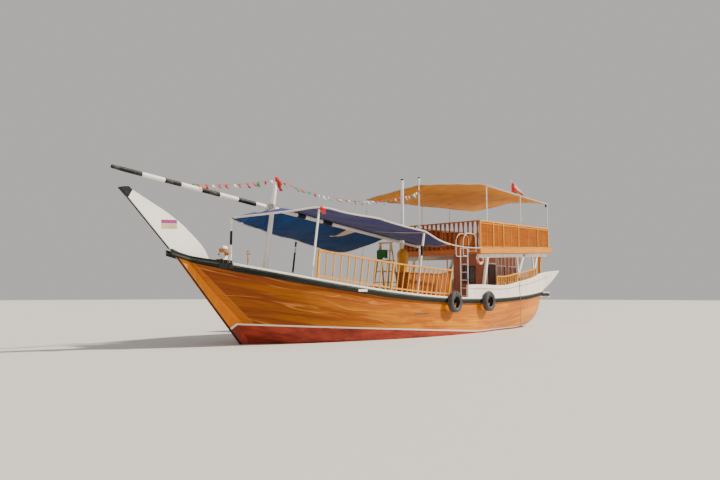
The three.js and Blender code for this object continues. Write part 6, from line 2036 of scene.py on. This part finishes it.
def makeStepLadder(top, ys, footOut, treads):
    foot = deckZ(1.2) + 0.003
    topX, topZ = top
    parts = []
    for lean in (-1, 1):
        footX = topX + lean * footOut
        for y in ys:
            wide = -0.12 if y == ys[0] else 0.12
            parts.append(barAlong([(footX, y + wide, foot + 0.02), (topX + lean * 0.012, y, topZ - 0.02)], 0.045,
                                  0.06, 0.006))
        for t in treads:
            x, z, out = lerp(footX, topX, t), lerp(foot, topZ, t), 0.12 * (1 - t)
            parts.append(barAlong([(x, 0.06 - out - 0.01, z), (x, 0.56 + out + 0.01, z)], 0.09 if lean > 0 else 0.04,
                                  0.034, 0.006))
    parts.append(barAlong([(topX, 0.02, topZ - 0.008), (topX, 0.6, topZ - 0.008)], 0.17, 0.045, 0.008))
    makePiece("stepLadder", parts, paleWood, "step_ladder", "timber", sharp=45)


makeStepLadder(**steps)
makeCloths(**flap)

locker = {"aft": -0.7, "fore": 2.15, "inner": 1.48, "outer": 2.06, "top": 2.29, "battens": 15}


def makeLocker(aft, fore, inner, outer, top, battens):
    low = [(aft, deckZ(aft) + 0.006), (0.5, deckZ(0.5) + 0.006), (fore, deckZ(fore) + 0.006)]
    outline = [low[0], (aft, top - 0.022), (fore, top - 0.022), low[2], low[1]]
    parts = [plateXZ(outline, inner + 0.012, outer - 0.012)]
    parts.append(brick((aft - 0.04, inner - 0.04, 2.2705), (fore + 0.04, outer + 0.02, 2.31), 0))
    board = brick((-0.085, 0, 0), (0.085, 0.011, 1.09))
    meshes = [painted("lockerBody", parts, lockerWood)]
    for y in (outer - 0.0118, inner + 0.001):
        path = [(lerp(aft + 0.1, fore - 0.1, t), y, 1.165) for t in (0, 0.5, 1)]
        meshes.append(repeatAlong("lockerBoards", path, [board], battens, lockerWood, ""))
    easeEdges(joinPiece("sideLocker", meshes, "side_locker", 40), 0.004)
    print("locker")


makeLocker(**locker)

# Mizzen casing: a round column with two hoops under a domed cap
casing = {"x": mizzenX, "r": 0.235, "foot": 1.145, "shoulder": 3.15, "dome": 3.366}


def makeCasing(x, r, foot, shoulder, dome):
    at = (x, 0, 0)
    rise = dome - shoulder
    profile = [(0, foot), (r, foot), (r, foot + 0.1), (r - 0.012, foot + 0.112)]
    profile += [(r - 0.012, z) for z in spread(1.4, 3.02, 8)]
    profile += [(r - 0.002, 3.03), (r, 3.07), (r - 0.002, 3.11), (r - 0.014, 3.12), (r - 0.012, shoulder)]
    profile += [((r - 0.012) * cos(a), shoulder + rise * sin(a)) for a in spread(0.15, pi / 2, 12)]
    makePiece("mizzenCasing", [lathe(profile, at, "Z", 40)], casingWood, "mizzen_casing", "timber", sharp=50)


casingWood = woodPaint("casingWood", (1.0, 0.5, 0.045), (0.72, 0.26, 0.016), (9, 9, 0.5), 0.4, 0.35)
makeCasing(**casing)

# Lanterns and caps on the poles
lampForm = [(0, 0), (0.03, 0), (0.032, 0.02), (0.05, 0.025), (0.052, 0.035), (0.044, 0.045), (0.046, 0.115),
            (0.052, 0.12), (0.058, 0.135), (0.048, 0.165), (0.02, 0.185), (0.012, 0.2), (0, 0.2)]
# Columns: piece, profile, place, paint, slot, points around
lampTable = [
    ("poleLamp", [(0, 0), (0.06, 0), (0.064, 0.012), (0.05, 0.035), (0, 0.045)], (lampX, 0, 6.421), blackBoard,
     "black_paint", 24),
    ("awningLamp", [(r * 0.9, -h * 0.75) for r, h in lampForm], (-9.5, 2.05, buffEdgeZ(1, -9.5) - 0.045), blackBoard,
     "black_paint", 20),
    ("lampGlass", [(0.0305, 0), (0.05, 0.004), (0.054, 0.02), (0.05, 0.035), (0.052, 0.1), (0.046, 0.13),
                   (0.0305, 0.134)],
     (lampX, 0, 6.275), whiteClean, "painted_pipe", 24),
    ("mizzenCap", [(0, 0), (0.066, 0), (0.066, 0.02), (0.05, 0.034), (0, 0.038)], (mizzenX, 0, 6.181), blackBoard,
     "black_paint", 24),
]


def makeLamps(table):
    for name, profile, at, paint, slot, around in table:
        makePiece(name, [lathe(profile, at, "Z", around)], paint, None, slot, sharp=45)
    print("lamps")


makeLamps(lampTable)

# Nail heads along the strakes, a vent in the port side and a bare plate on the strake
nails = {"fore": 10.2, "aft": -9.2, "count": 150, "size": 0.011}


def makeNails(fore, aft, count, size):
    dome = lathe([(0, -0.004), (size, -0.002), (size, 0.002), (0, 0.004)], (0, 0, 0), "Y", 8)
    for side, label in sides:
        path = []
        for x in spread(fore, aft, 120):
            low = hullTop(x) - strakeHigh(x)
            z = (low + hullTop(x)) / 2
            y = max(skinY(x, z) if x < hullForm["foreEnd"] else 0, stem["half"]) + strakeLook["thick"] + 0.002
            path.append((x, side * y, z))
        joinPiece("strakeNails" + label, [repeatAlong("nails", path, [dome], count, blackBoard, "Z")], None,
                  50)
    x, z = 1.93, 0.83
    y = skinY(x, z)
    # the vent's opening is a dark bar on the skin, as painted shade
    slot = barAlong([(1.55, skinY(1.55, z) + 0.004, z), (x, y + 0.004, z), (2.32, skinY(2.32, z) + 0.004, z)], 0.016,
                    0.05, 0.004)
    lip = barAlong([(1.53, skinY(1.53, z) + 0.006, z - 0.034), (x, y + 0.006, z - 0.034),
                    (2.34, skinY(2.34, z) + 0.006, z - 0.034)], 0.02, 0.016, 0.004, 1)
    makePiece("sideVent", [slot, lip], [doorWood, fasciaSide], None, "timber")
    plate = [(px, max(skinY(px, 1.64), stem["half"]) + strakeLook["thick"] + 0.004, 1.64) for px in (4.72, 4.9, 5.08)]
    makePiece("strakePlate", [barAlong(plate, 0.008, 0.075, 0.003)], whiteClean, None, "white_paint")
    print("nails and plates")


makeNails(**nails)

# Finishes on the solids that show as they are
carried = {
    "keel_and_stem": stemWood, "main_deck": deckPlanks, "transom_board": whiteBoard, "engine": enginePaint,
    "rudder": stemWood, "propeller": bronze, "flagstaff": pipePaint,
    "house_wall_port": houseWood, "house_wall_starboard": houseWood,
    "house_wall_fore": houseWood, "house_wall_aft": houseWood,
}
for name, paint in carried.items():
    nodes[name].data.materials.clear()
    nodes[name].data.materials.append(paint)

# A pale floor at the waterline, a soft sky and one sun
stage = {"floorSize": 400, "floorColour": (0.68, 0.66, 0.63, 1), "sunStrength": 6.6, "skyStrength": 0.52}


def makeStage(floorSize, floorColour, sunStrength, skyStrength):
    half = floorSize / 2
    mesh = bpy.data.meshes.new("floor")
    mesh.from_pydata([(-half, -half, 0), (half, -half, 0), (half, half, 0), (-half, half, 0)], [], [(0, 1, 2, 3)])
    floor = bpy.data.objects.new("floor", mesh)
    bpy.context.collection.objects.link(floor)
    paint = bpy.data.materials.new("floor")
    paint.use_nodes = True
    shader = paint.node_tree.nodes["Principled BSDF"]
    shader.inputs["Base Color"].default_value = floorColour
    shader.inputs["Roughness"].default_value = 0.9
    mesh.materials.append(paint)
    world = bpy.data.worlds.new("sky")
    world.use_nodes = True
    world.node_tree.nodes["Background"].inputs["Color"].default_value = (1.0, 0.98, 0.95, 1)
    world.node_tree.nodes["Background"].inputs["Strength"].default_value = skyStrength
    bpy.context.scene.world = world
    data = bpy.data.lights.new("sun", "SUN")
    data.energy = sunStrength
    data.angle = radians(4)
    data.color = (1, 0.91, 0.77)
    sun = bpy.data.objects.new("sun", data)
    sun.rotation_euler = Vector((0.57, -0.52, -0.64)).to_track_quat("-Z", "Y").to_euler()
    bpy.context.collection.objects.link(sun)


makeStage(**stage)
